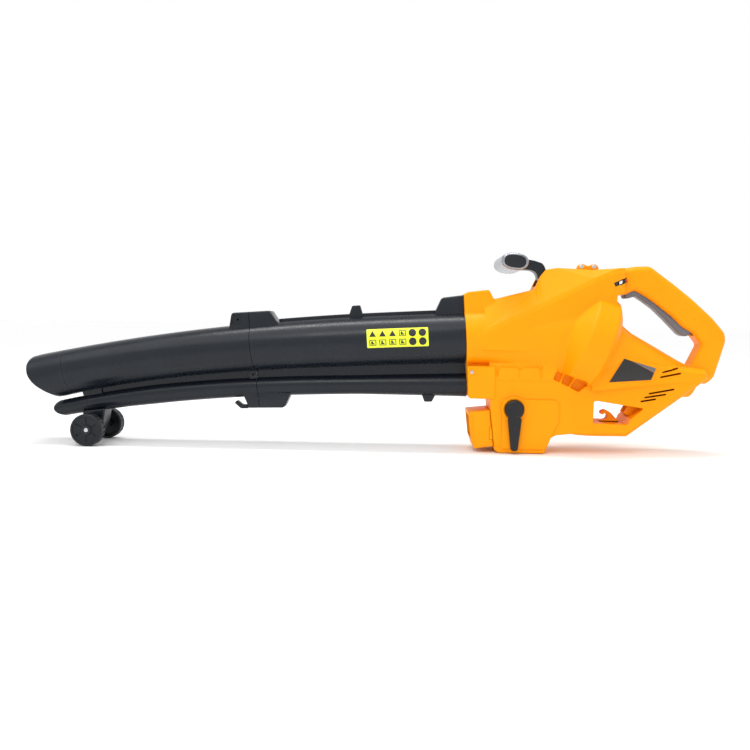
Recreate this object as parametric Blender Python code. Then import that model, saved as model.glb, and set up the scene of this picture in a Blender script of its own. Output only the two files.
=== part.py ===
"""Electric leaf blower, vacuum and shredder, modelled as an assembly of separate parts.

Axes: X runs along the machine from the nozzle (-X) to the rear handle (+X), Y runs from its left
side (-Y) to its right side (+Y), and Z is up. The origin is the middle of the flat foot under the
housing. Lengths in this file are millimetres and are turned into metres as meshes are made.
"""

import math

import bmesh
import bpy
from mathutils import Matrix, Vector

MM = 0.001
GAP = 0.3                    # clearance between touching pieces
MERGE = 0.000004             # points closer than this, in metres, become one
WALL = 3.0                   # housing wall
FAR = 1000.0                 # size of a cutting block that reaches past everything

# Suction and blower tubes
TUBE_ROOT_X = -104.0         # where both tubes meet the housing
SEAM_X = -455.0              # joint between the rear and front tube sections
TIP_SEAM_X = -776.0          # joint between the front section and the nozzle tip
BLOW_TIP_SEAM_X = -742.0
NOZZLE_END_X = -843.0
TUBE_WALL = 2.6
SUCTION_Z = 189.5            # height of the suction tube's axis at the housing
SUCTION_SLOPE = 0.0452       # its fall per unit of length at the housing
SUCTION_CURL = 0.1245        # cubic fall, per square metre
BLOW_Z = 109.5
BLOW_SLOPE = 0.0096
BLOW_CURL = 0.1385
WEB_HALF = 4.0               # half thickness of the web between the two tubes

# Housing
HOUSING_SPLIT_Y = 2.0        # the left half carries the lip of the joint
HALF_WIDTH = 39.0
FRAME_HALF = 37.0
GRIP_HALF = 19.5
COLLAR_TOP_HALF = 27.0
COLLAR_LOW_HALF = 41.5

# Fan and motor
FAN_CENTRE = (100.0, 0.0, 185.0)
FAN_TILT = math.radians(21.5)
DRUM_RADIUS = 83.0
DRUM_HALF_LENGTH = 36.0
SHAFT_RADIUS = 4.0

# Wheels
WHEEL_CENTRE = (-731.0, 27.0)
WHEEL_RADIUS = 27.0
WHEEL_INNER_Y = 34.0
WHEEL_OUTER_Y = 52.0
AXLE_RADIUS = 4.0

# Controls
LEVER_CENTRE = (-18.7, 73.6)
TRIGGER_PIVOT = (168.0, 276.0)
HANDLE_PIVOT = (25.0, 291.0)
GRIP_CENTRE = (-25.0, 314.0)
GRIP_HALF_LENGTH = 56.0
DIAL_CENTRE = (149.0, 283.0)
DIAL_Y = -20.0
DIAL_RADIUS = 14.0
DIAL_TILT = math.radians(21.0)

ORANGE = ("amber_plastic", (1.0, 0.36, 0.02), 0.35, 0.0)
BLACK = ("black_plastic", (0.03, 0.035, 0.04), 0.4, 0.0)
GREY = ("grey_plastic", (0.09, 0.09, 0.1), 0.5, 0.0)
SILVER = ("silver_plastic", (0.55, 0.57, 0.6), 0.3, 0.6)
YELLOW = ("label_yellow", (0.85, 0.95, 0.05), 0.5, 0.0)
STEEL = ("steel", (0.6, 0.6, 0.62), 0.3, 1.0)
IRON = ("laminated_iron", (0.25, 0.25, 0.27), 0.5, 1.0)
COPPER = ("copper", (0.72, 0.36, 0.2), 0.35, 1.0)
RUBBER = ("tyre_rubber", (0.02, 0.02, 0.022), 0.8, 0.0)
WHITE = ("nylon_white", (0.8, 0.8, 0.78), 0.5, 0.0)
GREEN = ("board_green", (0.03, 0.2, 0.08), 0.5, 0.0)


# ---------------------------------------------------------------- mesh helpers

def clear_scene():
    for obj in list(bpy.data.objects):
        bpy.data.objects.remove(obj, do_unlink=True)


def material(spec):
    name, colour, roughness, metallic = spec
    mat = bpy.data.materials.get(name)
    if mat is None:
        mat = bpy.data.materials.new(name)
        mat.use_nodes = True
        shader = mat.node_tree.nodes["Principled BSDF"]
        shader.inputs["Base Color"].default_value = (*colour, 1.0)
        shader.inputs["Roughness"].default_value = roughness
        shader.inputs["Metallic"].default_value = metallic
    return mat


def from_bmesh(bm, name="piece"):
    """A linked object from a closed bmesh in millimetres, with its faces turned outward."""
    bmesh.ops.recalc_face_normals(bm, faces=bm.faces)
    bmesh.ops.scale(bm, vec=(MM, MM, MM), verts=bm.verts)
    mesh = bpy.data.meshes.new(name)
    bm.to_mesh(mesh)
    bm.free()
    obj = bpy.data.objects.new(name, mesh)
    bpy.context.collection.objects.link(obj)
    return obj


def stack(rings, loop=False):
    """A closed solid through equal rings of points; with loop, the last ring joins the first."""
    bm = bmesh.new()
    rows = [[bm.verts.new(p) for p in ring] for ring in rings]
    count = len(rings[0])
    pairs = list(zip(rows, rows[1:]))
    if loop:
        pairs.append((rows[-1], rows[0]))
    for a, b in pairs:
        for i in range(count):
            j = (i + 1) % count
            bm.faces.new((a[i], a[j], b[j], b[i]))
    if not loop:
        bm.faces.new(rows[0])
        bm.faces.new(rows[-1])
    return from_bmesh(bm)


def prism(outline, low, high, chamfer=0.0):
    """An XZ outline run along Y from low to high, its two rims chamfered."""
    if chamfer == 0.0:
        return stack([[(x, y, z) for x, z in outline] for y in (low, high)])
    small = inset(outline, chamfer)
    steps = ((small, low), (outline, low + chamfer), (outline, high - chamfer), (small, high))
    return stack([[(x, y, z) for x, z in line] for line, y in steps])


def inset(outline, distance):
    """The outline moved inward by distance (outward where it is negative)."""
    count = len(outline)
    area = sum(outline[i - 1][0] * outline[i][1] - outline[i][0] * outline[i - 1][1] for i in range(count))
    side = 1.0 if area > 0 else -1.0
    moved = []
    for i in range(count):
        before, here, after = (Vector(outline[k % count]) for k in (i - 1, i, i + 1))
        first = (here - before).normalized()
        second = (after - here).normalized()
        normals = [Vector((-d.y, d.x)) * side for d in (first, second)]
        bisector = (normals[0] + normals[1]).normalized()
        reach = distance / max(bisector.dot(normals[0]), 0.35)
        moved.append(tuple(here + bisector * reach))
    return moved


def block(low, high):
    """A box between two corners."""
    outline = [(low[0], low[2]), (high[0], low[2]), (high[0], high[2]), (low[0], high[2])]
    return prism(outline, low[1], high[1])


def oval(x, y, z, half_y, half_z, count, power=2.0, lean=0.0):
    """A ring in the YZ plane, rounder or squarer by its power, leaning back with height."""
    ring = []
    for i in range(count):
        turn = math.tau * (i + 0.5) / count
        c, s = math.cos(turn), math.sin(turn)
        up = math.copysign(abs(s) ** (2.0 / power), s) * half_z
        ring.append((x + up * lean, y + math.copysign(abs(c) ** (2.0 / power), c) * half_y, z + up))
    return ring


def turned(profile, origin, direction, count=24, closed=False):
    """Revolves (radius, distance) pairs about an axis; closed makes a ring from a closed profile."""
    frame = Vector((0, 0, 1)).rotation_difference(Vector(direction)).to_matrix()
    rings = []
    for radius, along in profile:
        ring = []
        for i in range(count):
            turn = math.tau * (i + 0.5) / count
            ring.append(frame @ Vector((radius * math.cos(turn), radius * math.sin(turn), along)) + Vector(origin))
        rings.append(ring)
    return stack(rings, loop=closed)


def disc(radius, low, high, origin, direction, count=24):
    return turned([(radius, low), (radius, high)], origin, direction, count)


def washer(outer, inner, low, high, origin, direction, count=24):
    profile = [(outer, low), (outer, high), (inner, high), (inner, low)]
    return turned(profile, origin, direction, count, closed=True)


def boolean(base, others, operation):
    """Joins others to base, or cuts them from it, and removes them."""
    for other in others:
        step = base.modifiers.new(operation, "BOOLEAN")
        step.operation = operation
        step.solver = "EXACT"
        step.object = other
        depsgraph = bpy.context.evaluated_depsgraph_get()
        mesh = bpy.data.meshes.new_from_object(base.evaluated_get(depsgraph))
        base.modifiers.clear()
        base.data = mesh
        bpy.data.objects.remove(other, do_unlink=True)
    return base


def union(base, *others):
    return boolean(base, others, "UNION")


def cut(base, *others):
    return boolean(base, others, "DIFFERENCE")


def common(base, *others):
    return boolean(base, others, "INTERSECT")


def copy_of(obj):
    twin = obj.copy()
    twin.data = obj.data.copy()
    bpy.context.collection.objects.link(twin)
    return twin


def part(name, obj, spec, origin=None, smooth=True):
    """Names a finished solid, gives it its material, and puts its origin where it turns."""
    bm = bmesh.new()
    bm.from_mesh(obj.data)
    bmesh.ops.remove_doubles(bm, verts=bm.verts, dist=MERGE)
    bmesh.ops.dissolve_degenerate(bm, edges=bm.edges, dist=MERGE)
    bmesh.ops.triangulate(bm, faces=bm.faces)
    bm.to_mesh(obj.data)
    bm.free()
    obj.name = name
    obj.data.name = name
    obj.data.materials.clear()
    obj.data.materials.append(material(spec))
    if smooth:
        obj.data.shade_smooth()
        obj.data.set_sharp_from_angle(angle=math.radians(35))
    if origin:
        offset = Vector(origin) * MM
        obj.data.transform(Matrix.Translation(-offset))
        obj.location = offset
    return obj


def halves(name, whole, spec, plane=0.0):
    """Splits a moulding into its left and right halves along an upright plane."""
    left = copy_of(whole)
    common(left, block((-FAR, -FAR, -FAR), (FAR, plane - GAP / 2, FAR)))
    common(whole, block((-FAR, plane + GAP / 2, -FAR), (FAR, FAR, FAR)))
    part(name + "_left", left, spec)
    part(name + "_right", whole, spec)


def fan_axis():
    return Vector((math.cos(FAN_TILT), 0.0, -math.sin(FAN_TILT)))


def on_fan_axis(distance):
    return Vector(FAN_CENTRE) + fan_axis() * distance


# ---------------------------------------------------------------- tubes

def suction_z(x):
    s = TUBE_ROOT_X - x
    return SUCTION_Z - SUCTION_SLOPE * s - SUCTION_CURL * s ** 3 * MM * MM


def blow_z(x):
    s = TUBE_ROOT_X - x
    return BLOW_Z - BLOW_SLOPE * s - BLOW_CURL * s ** 3 * MM * MM


def suction_radius(x):
    """Wide at the housing, slimmest near X -600, and flared at the nozzle."""
    s = (TUBE_ROOT_X - x) / 500.0
    return 43.0 - 2.2 * s - 4.6 * max(0.0, s - 0.4) + 22.0 * max(0.0, s - 1.12) ** 2 + 3.4 * max(0.0, s - 1.0)


def blow_radius(x):
    """Round at the housing, then narrow to the tip."""
    s = (TUBE_ROOT_X - x) / 500.0
    return 20.0 - 3.4 * min(1.0, s / 0.35) - 11.0 * max(0.0, s - 1.04) ** 1.2


def blow_half_width(x):
    return blow_radius(x) + 9.0 * max(0.0, (TUBE_ROOT_X - x) / 500.0 - 1.0)


def tube(start, end, centre, half_y, half_z, less, steps, count):
    """A curved round bar along X, less thinner all round than the tube that it belongs to."""
    rings = []
    for k in range(steps + 1):
        x = start + (end - start) * k / steps
        lean = (centre(x + 1) - centre(x - 1)) / 2.0
        rings.append(oval(x, 0, centre(x), half_y(x) - less, half_z(x) - less, count, lean=-lean))
    return stack(rings)


def suction(start, end, less, steps, count=28):
    return tube(start, end, suction_z, suction_radius, suction_radius, less, steps, count)


def blow(start, end, less, steps, count=16):
    return tube(start, end, blow_z, blow_half_width, blow_radius, less, steps, count)


def web(start, end):
    """The flat wall between the tubes."""
    xs = (start, (start + end) / 2, end)
    top = [(x, suction_z(x) - suction_radius(x) + 6) for x in xs]
    bottom = [(x, blow_z(x) + blow_radius(x) - 5) for x in reversed(xs)]
    return prism(top + bottom, -WEB_HALF, WEB_HALF)


def seam_cut(x, forward):
    """A block whose face is the tilted plane of the joint between the tube sections."""
    lean = 0.11
    near = x + (0.25 if forward else -0.25)
    far = FAR if forward else -FAR
    return prism([(near - lean * 200, 350), (far, 350), (far, -50), (near + lean * 200, -50)], -200, 200)


def rear_tube():
    whole = suction(TUBE_ROOT_X, SEAM_X - 30, 0, 6)
    top_rib = prism([(-149, 226), (-300, 216), (-415, 206), (-415, 219.5), (-300, 228.5), (-149, 238)], -5, 5)
    block_top = prism([(-150, 215), (-149, 234), (-138, 256), (-104.6, 261), (-104.6, 215)], -24, 24, 3)
    lug = prism([(-298, 215), (-290, 240.5), (-276, 242), (-268, 215)], -8, 8)
    low_lug = prism([(-171, 95), (-165, 79.6), (-152.5, 79.8), (-145, 95)], -8, 8)
    flange = prism([(-480, 195), (-490, 226.5), (-428, 230.8), (-412, 205)], -22, 22, 2)
    low_flange = prism([(-500, 92), (-464, 64.3), (-405, 65.7), (-391, 92)], -13.7, 13.7, 2)
    union(whole, blow(TUBE_ROOT_X, SEAM_X - 30, 0, 5), web(TUBE_ROOT_X - 1, SEAM_X - 30), top_rib, block_top)
    union(whole, lug, low_lug, flange, low_flange)
    cut(whole, suction(TUBE_ROOT_X + 20, SEAM_X - 50, TUBE_WALL, 6))
    cut(whole, blow(TUBE_ROOT_X + 20, SEAM_X - 50, TUBE_WALL, 5))
    cut(whole, prism([(-145, 235.5), (-136, 252.5), (-108, 257), (-108, 235.5)], -20, 20))
    cut(whole, prism([(-447, 86.5), (-447, 68), (-408, 68.7), (-401, 86.5)], -10.5, 10.5))
    common(whole, seam_cut(SEAM_X, True))
    cut(whole, block((TUBE_ROOT_X - GAP, -90, 60), (0, 90, 280)))
    halves("rear_tube", whole, BLACK)


def front_tube():
    whole = suction(SEAM_X + 30, TIP_SEAM_X, 0, 7)
    flange = prism([(-497, 190), (-492, 224.5), (-486, 226.8), (-428, 230.8), (-412, 205)], -22, 22, 2)
    low_flange = prism([(-476, 92), (-464, 64.3), (-405, 65.7), (-391, 92)], -13.7, 13.7, 2)
    strut = prism([(-760, 100), (-722, 100), (-718, 70), (-748, 64)], -8, 8)
    cut(strut, blow(BLOW_TIP_SEAM_X + 0.5, -800, -GAP, 2))
    boss = disc(7.5, -12, 12, (-458, 0, 121), (0, 1, 0), 8)
    union(whole, blow(SEAM_X + 30, BLOW_TIP_SEAM_X, 0, 7), web(SEAM_X + 30, -721), strut, flange, low_flange, boss)
    cut(whole, suction(SEAM_X + 50, TIP_SEAM_X - 20, TUBE_WALL, 7))
    cut(whole, blow(SEAM_X + 50, BLOW_TIP_SEAM_X - 20, TUBE_WALL, 7))
    common(whole, seam_cut(SEAM_X, False))
    halves("front_tube", whole, BLACK)


def nozzle_tip():
    """The slanted mouth of the suction tube."""
    tip = suction(TIP_SEAM_X - GAP, NOZZLE_END_X - 6, 0, 4)
    cut(tip, suction(TIP_SEAM_X + 20, NOZZLE_END_X - 20, TUBE_WALL, 5))
    side = [(-760, 172), (-823, 161.5), (-834, 153), (-840, 145), (-842, 134), (-837, 117), (-826, 101.5)]
    side += [(-812, 90), (-800, 81.5), (-788, 72), (-760, 72)]
    common(tip, prism(side, -60, 60))
    part("nozzle_tip", tip, BLACK)


def blow_tip():
    """The narrow end of the blower tube."""
    tip = blow(BLOW_TIP_SEAM_X - GAP, -815, 0, 4)
    cut(tip, blow(BLOW_TIP_SEAM_X + 20, -830, TUBE_WALL, 5))
    side = [(-724, 90), (-782, 78), (-796, 71), (-802, 60), (-796, 50), (-782, 44), (-724, 40)]
    common(tip, prism(side, -40, 40))
    part("blow_nozzle_tip", tip, BLACK)


def bag_hook():
    """The hook under the tube joint that carries the front of the bag."""
    outline = [(-466, 63), (-479, 62.8), (-490, 72.6), (-486, 76.5), (-477, 68.6), (-468.6, 69)]
    part("bag_hook", prism(outline, -6, 6), BLACK)


def picture_label():
    """A thin plate bent round the rear section's near side."""
    rows = []
    for radius in (0.25, 0.85):
        ring = []
        for x in (-262, -161):
            for k in range(9):
                turn = math.radians(-22 + 44 * k / 8)
                k_x = x - 0.07 * math.sin(turn) * 40
                r = suction_radius(k_x) + radius
                ring.append((k_x, -r * math.cos(turn), suction_z(k_x) + r * math.sin(turn)))
        rows.append(ring[:9] + ring[:8:-1])
    part("picture_label", stack(rows), YELLOW)


# ---------------------------------------------------------------- running gear

def running_gear():
    x, z = WHEEL_CENTRE
    post = prism([(-752, 55), (-712, 60), (-716, 34), (-722, 19), (-740, 19), (-748, 34)], -17, 17, 3)
    cut(post, blow(-690, -790, -GAP, 4))
    arm = disc(7.5, -WHEEL_INNER_Y + 6, WHEEL_INNER_Y - 6, (x, 0, z), (0, 1, 0), 16)
    union(post, arm)
    cut(post, disc(AXLE_RADIUS + GAP, -60, 60, (x, 0, z), (0, 1, 0), 16))
    part("wheel_bracket", post, BLACK)
    part("wheel_axle", disc(AXLE_RADIUS, -48.2, 48.2, (x, 0, z), (0, 1, 0), 16), STEEL, (x, 0, z))
    for name, side in (("wheel_left", -1), ("wheel_right", 1)):
        part(name, wheel(side), RUBBER, (x, 0, z))


def wheel(side):
    """A cup-shaped wheel, open toward the bracket, with a hub, a dished face and a treaded rim."""
    inner, outer, r = WHEEL_INNER_Y, WHEEL_OUTER_Y, WHEEL_RADIUS
    bore = AXLE_RADIUS + GAP
    profile = [(0.004, outer - 3.3), (bore, outer - 3.3), (bore, inner - 4), (8, inner - 4), (8, outer - 6)]
    profile += [(r - 4, outer - 5)]
    profile += [(r - 4, inner), (r - 1.2, inner), (r, inner + 2), (r, outer - 3), (r - 2, outer - 0.5)]
    profile += [(r - 4, outer), (r - 5, outer - 1.5), (8, outer - 2.5), (6, outer - 0.3), (0.004, outer - 0.3)]
    return turned(profile, (WHEEL_CENTRE[0], 0, WHEEL_CENTRE[1]), (0, side, 0), 24)


# ---------------------------------------------------------------- housing

COLLAR_TOP = [(-103.5, 214), (-103.5, 262), (-97, 265.5), (-64, 269.5), (-60, 266), (-46, 240), (-40, 214)]
COLLAR_LOW = [(-103.5, 144), (-103.5, 128), (-93.6, 91.5), (-50, 89.5), (-50, 144)]
LOWER = [(-60, 150), (-57, 72), (-49, 5), (-42, 0), (33, 0), (44, 27), (52, 31), (78, 34), (112, 33), (112, 150)]
FRAME = [(58, 108), (66, 34), (89, 31), (115, 30), (168, 30.5), (288, 121.5), (298, 129), (292, 142), (268, 146)]
FRAME += [(180, 150), (110, 150)]
FRAME_HOLE = [(88.5, 52.8), (89, 60), (108, 88), (119, 89), (165, 82), (194, 78), (172, 60), (168, 51)]
HANDLE = [(120, 303), (150, 305), (175, 310.5), (202, 311.6), (213, 303), (271, 259), (306, 228), (328, 203)]
HANDLE += [(330, 190), (325, 173), (313, 128), (298, 116), (270, 135), (230, 160), (160, 190), (120, 200)]
HANDLE_HOLE = [(144, 262), (144, 243), (153, 222), (154, 206), (272, 147), (289, 183), (274, 202), (256, 212.5)]
HANDLE_HOLE += [(239, 229), (206, 254), (185, 267), (176, 271), (164, 264)]
TRIGGER_SLOT = [(160.8, 286), (178, 286), (212, 268), (262, 227), (282, 210), (275, 190), (240, 200), (160.8, 250)]
UPPER = [                    # X, Z of the bottom, crease and top, and half widths at the crease and top
    (-70, 170, 195, 250, 47.5, 22), (12, 170, 235, 271, 46.5, 24), (17, 170, 237, 290, 46.5, 22),
    (31, 170, 244, 306, 46.5, 20), (105, 170, 281, 304, 45.5, 24), (135, 180, 294, 306, 40, 25),
    (143, 200, 296, 306.5, 37, 24), (144.5, 262, 297, 306.7, 36, 24), (158, 266, 299, 308, 30, 22),
]
DUCT = [                     # X, height of the axis, half width, half height
    (-104, 189, 46.5, 48), (-50, 190, 47, 50), (0, 190, 48.5, 56), (45, 188, 52, 64), (92, 186, 54, 68),
]
BADGE = [(133, 121), (200, 126), (207, 145), (156, 160)]
BADGE_Y = 44.5
PORT_HOLE = [(-110, 60), (-46, 66), (-46, 17), (-110, 27)]


def duct(less):
    return stack([oval(x, 0, z, y - less, h - less, 28, 2.2) for x, z, y, h in DUCT])


def upper(less):
    rings = []
    for k, (x, low, crease, top, wide, narrow) in enumerate(UPPER):
        x += less if k == 0 else 0
        x -= less if k == len(UPPER) - 1 else 0
        w, n, h = wide - less, narrow - less, top - less
        side = [(x, w, low + less), (x, w, crease - less * 0.3), (x, n, h)]
        rings.append(side + [(x, -y, z) for x, y, z in reversed(side)])
    return stack(rings)


def fan_drum(less):
    r = DRUM_RADIUS - less
    half = DRUM_HALF_LENGTH - less
    profile = [(r - 28, -half + 2), (r - 3, -half + 22), (r, -half + 26), (r, half - 13), (r - 1.5, half - 10)]
    profile += [(r - 16, half)]
    return turned(profile, FAN_CENTRE, fan_axis(), 40)


def motor_cone(less):
    profile = [(62, 10), (54, 34), (43, 62), (35.5, 120), (27, 178), (20, 196)]
    end = profile[-1][1] - less
    return turned([(r - less, min(t, end)) for r, t in profile], FAN_CENTRE, fan_axis(), 28)


def grip_loop(less):
    loop = prism(inset(HANDLE, less), -GRIP_HALF + less, GRIP_HALF - less, 6 - 0.5 * less)
    return cut(loop, prism(inset(HANDLE_HOLE, -less), -60, 60))


def lower_frame(less):
    frame = prism(inset(FRAME, less), -FRAME_HALF + less, FRAME_HALF - less, 4 - 0.4 * less)
    return cut(frame, prism(inset(FRAME_HOLE, -less), -60, 60))


def housing_solid(less):
    """The machine's body as one solid, or with less, the space inside its walls."""
    rim = 3 - 0.4 * less
    body = duct(less)
    for outline, half in ((COLLAR_TOP, COLLAR_TOP_HALF), (COLLAR_LOW, COLLAR_LOW_HALF)):
        union(body, prism(inset(outline, less), -half + less, half - less, rim))
    union(body, prism(inset(LOWER, less), -HALF_WIDTH + less, HALF_WIDTH - less, rim))
    union(body, upper(less), fan_drum(less), motor_cone(less), lower_frame(less), grip_loop(less))
    return body


def slot(start, end, high, low, depth):
    """A slanting slot through one side wall, between two XZ points, from Y low to Y high."""
    run = (Vector(end) - Vector(start)).normalized() * 1.0
    across = Vector((-run.y, run.x)) * depth / 2
    a, b = Vector(start), Vector(end)
    return prism([tuple(a + across), tuple(b + across), tuple(b - across), tuple(a - across)], low, high)


def vents(side):
    rows = [((219, 138), (247, 145)), ((216, 130), (250, 137))]
    rows += [((200, 102.5), (241, 110.6)), ((193, 96), (228, 102)), ((187, 89.5), (212, 94))]
    low, high = sorted((side * 24, side * 60))
    return [slot(a, b, high, low, 3.0) for a, b in rows]


def housing():
    body = housing_solid(0)
    lx, lz = LEVER_CENTRE
    union(body, prism(inset(BADGE, -2.5), -BADGE_Y, -20, 2))
    cut(body, housing_solid(WALL))
    cut(body, disc(40.5, -60, 8, (-90, 0, 189), (1, 0, 0), 32), disc(17.5, -60, 8, (-90, 0, 109.3), (1, 0, 0), 16))
    cut(body, prism(PORT_HOLE, -33, 33))
    cut(body, disc(5.3, -60, 0, (lx, 0, lz), (0, 1, 0), 16))
    cut(body, block((4, -17, 276), (41, 17, 330)))
    cut(body, disc(3 + GAP, -20.6, 20.6, (HANDLE_PIVOT[0], 0, HANDLE_PIVOT[1]), (0, 1, 0), 12))
    cut(body, prism(TRIGGER_SLOT, -12.3, 12.3))
    cut(body, *vents(1), *vents(-1))
    cut(body, inlet_socket())
    cut(body, dial_slot())
    halves("housing", body, ORANGE, HOUSING_SPLIT_Y)


def inlet_socket():
    """The hole in the back of the lower opening that the power inlet sits in."""
    return prism([(160, 76), (178, 94), (204, 84), (196, 66), (172, 61)], -13, 13)


def dial_frame():
    """The speed dial's centre and the axis that it turns about."""
    x, z = DIAL_CENTRE
    return Vector((x, DIAL_Y, z)), Vector((-math.sin(DIAL_TILT), 0, math.cos(DIAL_TILT)))


def dial_slot():
    centre, axis = dial_frame()
    return disc(DIAL_RADIUS + 1, -4, 4, centre, axis, 24)


# ---------------------------------------------------------------- housing fittings

def selector():
    """The lever, its cover plate with a raised ring, and the flap it turns inside the housing."""
    lx, lz = LEVER_CENTRE
    face = -HALF_WIDTH - GAP
    outline = [(-38, 91), (48, 89.5), (54, 85), (54.5, 54), (33, 8), (-38, 8)]
    cover = prism(outline, face - 2, face)
    union(cover, washer(21, 16.4, 1, 4.5, (lx, face, lz), (0, -1, 0), 32))
    cut(cover, disc(5.3, -10, 10, (lx, face, lz), (0, 1, 0), 16))
    part("selector_cover", cover, ORANGE)
    lever = disc(15.8, 2.4, 13, (lx, face, lz), (0, -1, 0), 32)
    arm = [(lx - 11, 58), (lx - 5, 8), (lx - 2, 5.5), (lx + 4, 5.5), (lx + 6.5, 8), (lx + 12, 58)]
    union(lever, prism(arm, face - 12, face - 5.2, 1.5))
    part("selector_lever", lever, BLACK, (lx, face, lz))
    shaft = disc(5, face - 2.1, 34, (lx, 0, lz), (0, 1, 0), 16)
    part("selector_shaft", shaft, STEEL, (lx, 0, lz))
    flap = washer(8, 5 + GAP, -32, 32, (lx, 0, lz), (0, 1, 0), 16)
    union(flap, block((lx - 1.5, -32, lz + 6.5), (lx + 1.5, 32, lz + 27)))
    part("diverter_flap", flap, WHITE, (lx, 0, lz))


def bag_port():
    """The rectangular spigot that the collection bag clips onto, and its side latch."""
    outline = [(-93, 67), (-57.6, 71), (-56.7, 62), (-50.5, 11), (-82, 6), (-88, 22.7)]
    port = prism(outline, -36.5, 36.5, 3)
    cut(port, prism(PORT_HOLE, -33, 33))
    cut(port, prism([(-58, 44), (-50, 44), (-50, 22), (-58, 22)], -60, -30))
    part("bag_port", port, ORANGE)
    latch = prism([(-57.5, 43.5), (-54.6, 43.5), (-52.3, 26), (-52.3, 22.5), (-57.5, 22.5)], -37.5, -33.3)
    part("bag_port_latch", latch, ORANGE)


def strap_bracket():
    """A raised ear along the top with two riveted holes."""
    ear = [(84, 305.3), (86, 312), (91, 315), (96, 314), (100, 311.5), (105, 311.5), (109, 314), (113, 315)]
    ear += [(118, 312), (121, 305.3)]
    plate = prism(ear, -5, 5)
    for x in (91.6, 112.4):
        cut(plate, disc(2.6, -10, 10, (x, 0, 309.8), (0, 1, 0), 12))
    part("strap_bracket", plate, ORANGE)
    for name, x in (("strap_rivet_front", 91.6), ("strap_rivet_rear", 112.4)):
        part(name, turned([(4, -6.4), (4, -5.3), (2.3, -5.3), (2.3, 4.8)], (x, 0, 309.8), (0, 1, 0), 12), STEEL)


def badge():
    """A blank plate on its flat pad at the motor cone's side."""
    part("badge", prism(BADGE, -BADGE_Y - 1, -BADGE_Y - GAP), GREY)


def speed_dial():
    """The thumb wheel set into the housing above the grip opening."""
    centre, axis = dial_frame()
    part("speed_dial", washer(DIAL_RADIUS, 3, -3, 3, centre, axis, 32), GREY, centre)
    part("speed_dial_spindle", disc(2.6, -8, 8, centre, axis, 12), STEEL)


def cable_hook():
    hook = [(128, 52.3), (162, 51.5), (158, 56), (148, 67), (139, 72), (132, 70), (131, 65), (135, 63), (138, 66)]
    hook += [(143, 63), (141, 57)]
    part("cable_hook", prism(hook, -7, 7), ORANGE)


def power_inlet():
    """The recessed appliance socket that faces the cable hook."""
    outline = [(169, 68), (181, 91), (199, 83), (192, 67), (175, 64)]
    body = prism(inset(outline, -1), -12.5, 12.5)
    across = Vector((-0.87, 0, -0.5)).normalized()
    cut(body, disc(8, -2, 14, (174.5, 0, 78), across, 20))
    part("power_inlet", body, ORANGE)


# ---------------------------------------------------------------- motor and fan

def fan():
    axis = fan_axis()

    def at(distance):
        return on_fan_axis(distance)

    hub = turned([(14, -22), (17, -10), (22, 4), (22, 8), (14, 8)], at(0), axis, 16)
    plate = disc(70, 4, 7, at(0), axis, 32)
    wheel_solid = union(plate, hub)
    for k in range(8):
        turn = math.tau * k / 8
        vane = block((10, -1.3, -14), (68, 1.3, 5.5))
        vane.data.transform(Matrix.Rotation(turn, 4, "Z"))
        tilt = Vector((0, 0, 1)).rotation_difference(axis).to_matrix().to_4x4()
        vane.data.transform(Matrix.Translation(at(0) * MM) @ tilt)
        union(wheel_solid, vane)
    cut(wheel_solid, disc(SHAFT_RADIUS + GAP, -50, 50, at(0), axis, 16))
    part("impeller", wheel_solid, GREY, FAN_CENTRE)
    nut = cut(disc(8, -28, -22.4, at(0), axis, 6), disc(SHAFT_RADIUS + GAP, -50, 50, at(0), axis, 16))
    part("impeller_nut", nut, STEEL, FAN_CENTRE)
    part("motor_shaft", disc(SHAFT_RADIUS, -30, 136, at(0), axis, 16), STEEL, FAN_CENTRE)
    back = washer(56, 14.5, 13, 16, at(0), axis, 40)
    part("motor_plate", back, BLACK)
    part("front_bearing", washer(14, SHAFT_RADIUS + GAP, 13, 20, at(0), axis, 24), STEEL)
    part("stator", washer(34, 25, 30, 74, at(0), axis, 32), IRON)
    part("rotor", washer(24, SHAFT_RADIUS + GAP, 31, 73, at(0), axis, 24), COPPER, FAN_CENTRE)
    part("commutator", washer(11, SHAFT_RADIUS + GAP, 80, 98, at(0), axis, 20), COPPER, FAN_CENTRE)
    part("rear_bearing", washer(11, SHAFT_RADIUS + GAP, 124, 131, at(0), axis, 24), STEEL)
    holder = washer(29, 11.3, 123, 132, at(0), axis, 24)
    part("rear_bearing_holder", holder, BLACK)
    for name, side in (("brush_holder_left", -1), ("brush_holder_right", 1)):
        brush = block((-5, 11.6, -6), (5, 32, 6))
        brush.data.transform(Matrix.Rotation(0 if side > 0 else math.pi, 4, "Z"))
        tilt = Matrix.Rotation(math.pi / 2 + FAN_TILT, 4, "Y")
        brush.data.transform(Matrix.Translation(at(89) * MM) @ tilt)
        part(name, brush, BLACK)


# ---------------------------------------------------------------- rear handle controls

def trigger():
    px, pz = TRIGGER_PIVOT
    outline = [(164, 257.5), (170, 258.5), (181, 262), (194, 254), (211, 242), (229, 225.5), (246, 208.5)]
    outline += [(255, 199.5), (262, 196.5), (270, 198), (275.5, 205), (256, 222), (212, 257), (196, 272)]
    outline += [(178, 272), (175, 282), (164, 282), (161.5, 275), (161.5, 262)]
    body = prism(outline, -11.5, 11.5, 1.5)
    cut(body, disc(2.5 + GAP, -20, 20, (px, 0, pz), (0, 1, 0), 12))
    part("trigger", body, GREY, (px, 0, pz))
    part("trigger_pin", disc(2.5, -15.8, 15.8, (px, 0, pz), (0, 1, 0), 12), STEEL)
    part("switch_module", block((202, -10, 271.5), (224, 10, 287)), BLACK)
    part("control_board", block((116, -24, 262), (118, 24, 292)), GREEN)
    spring()


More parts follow.
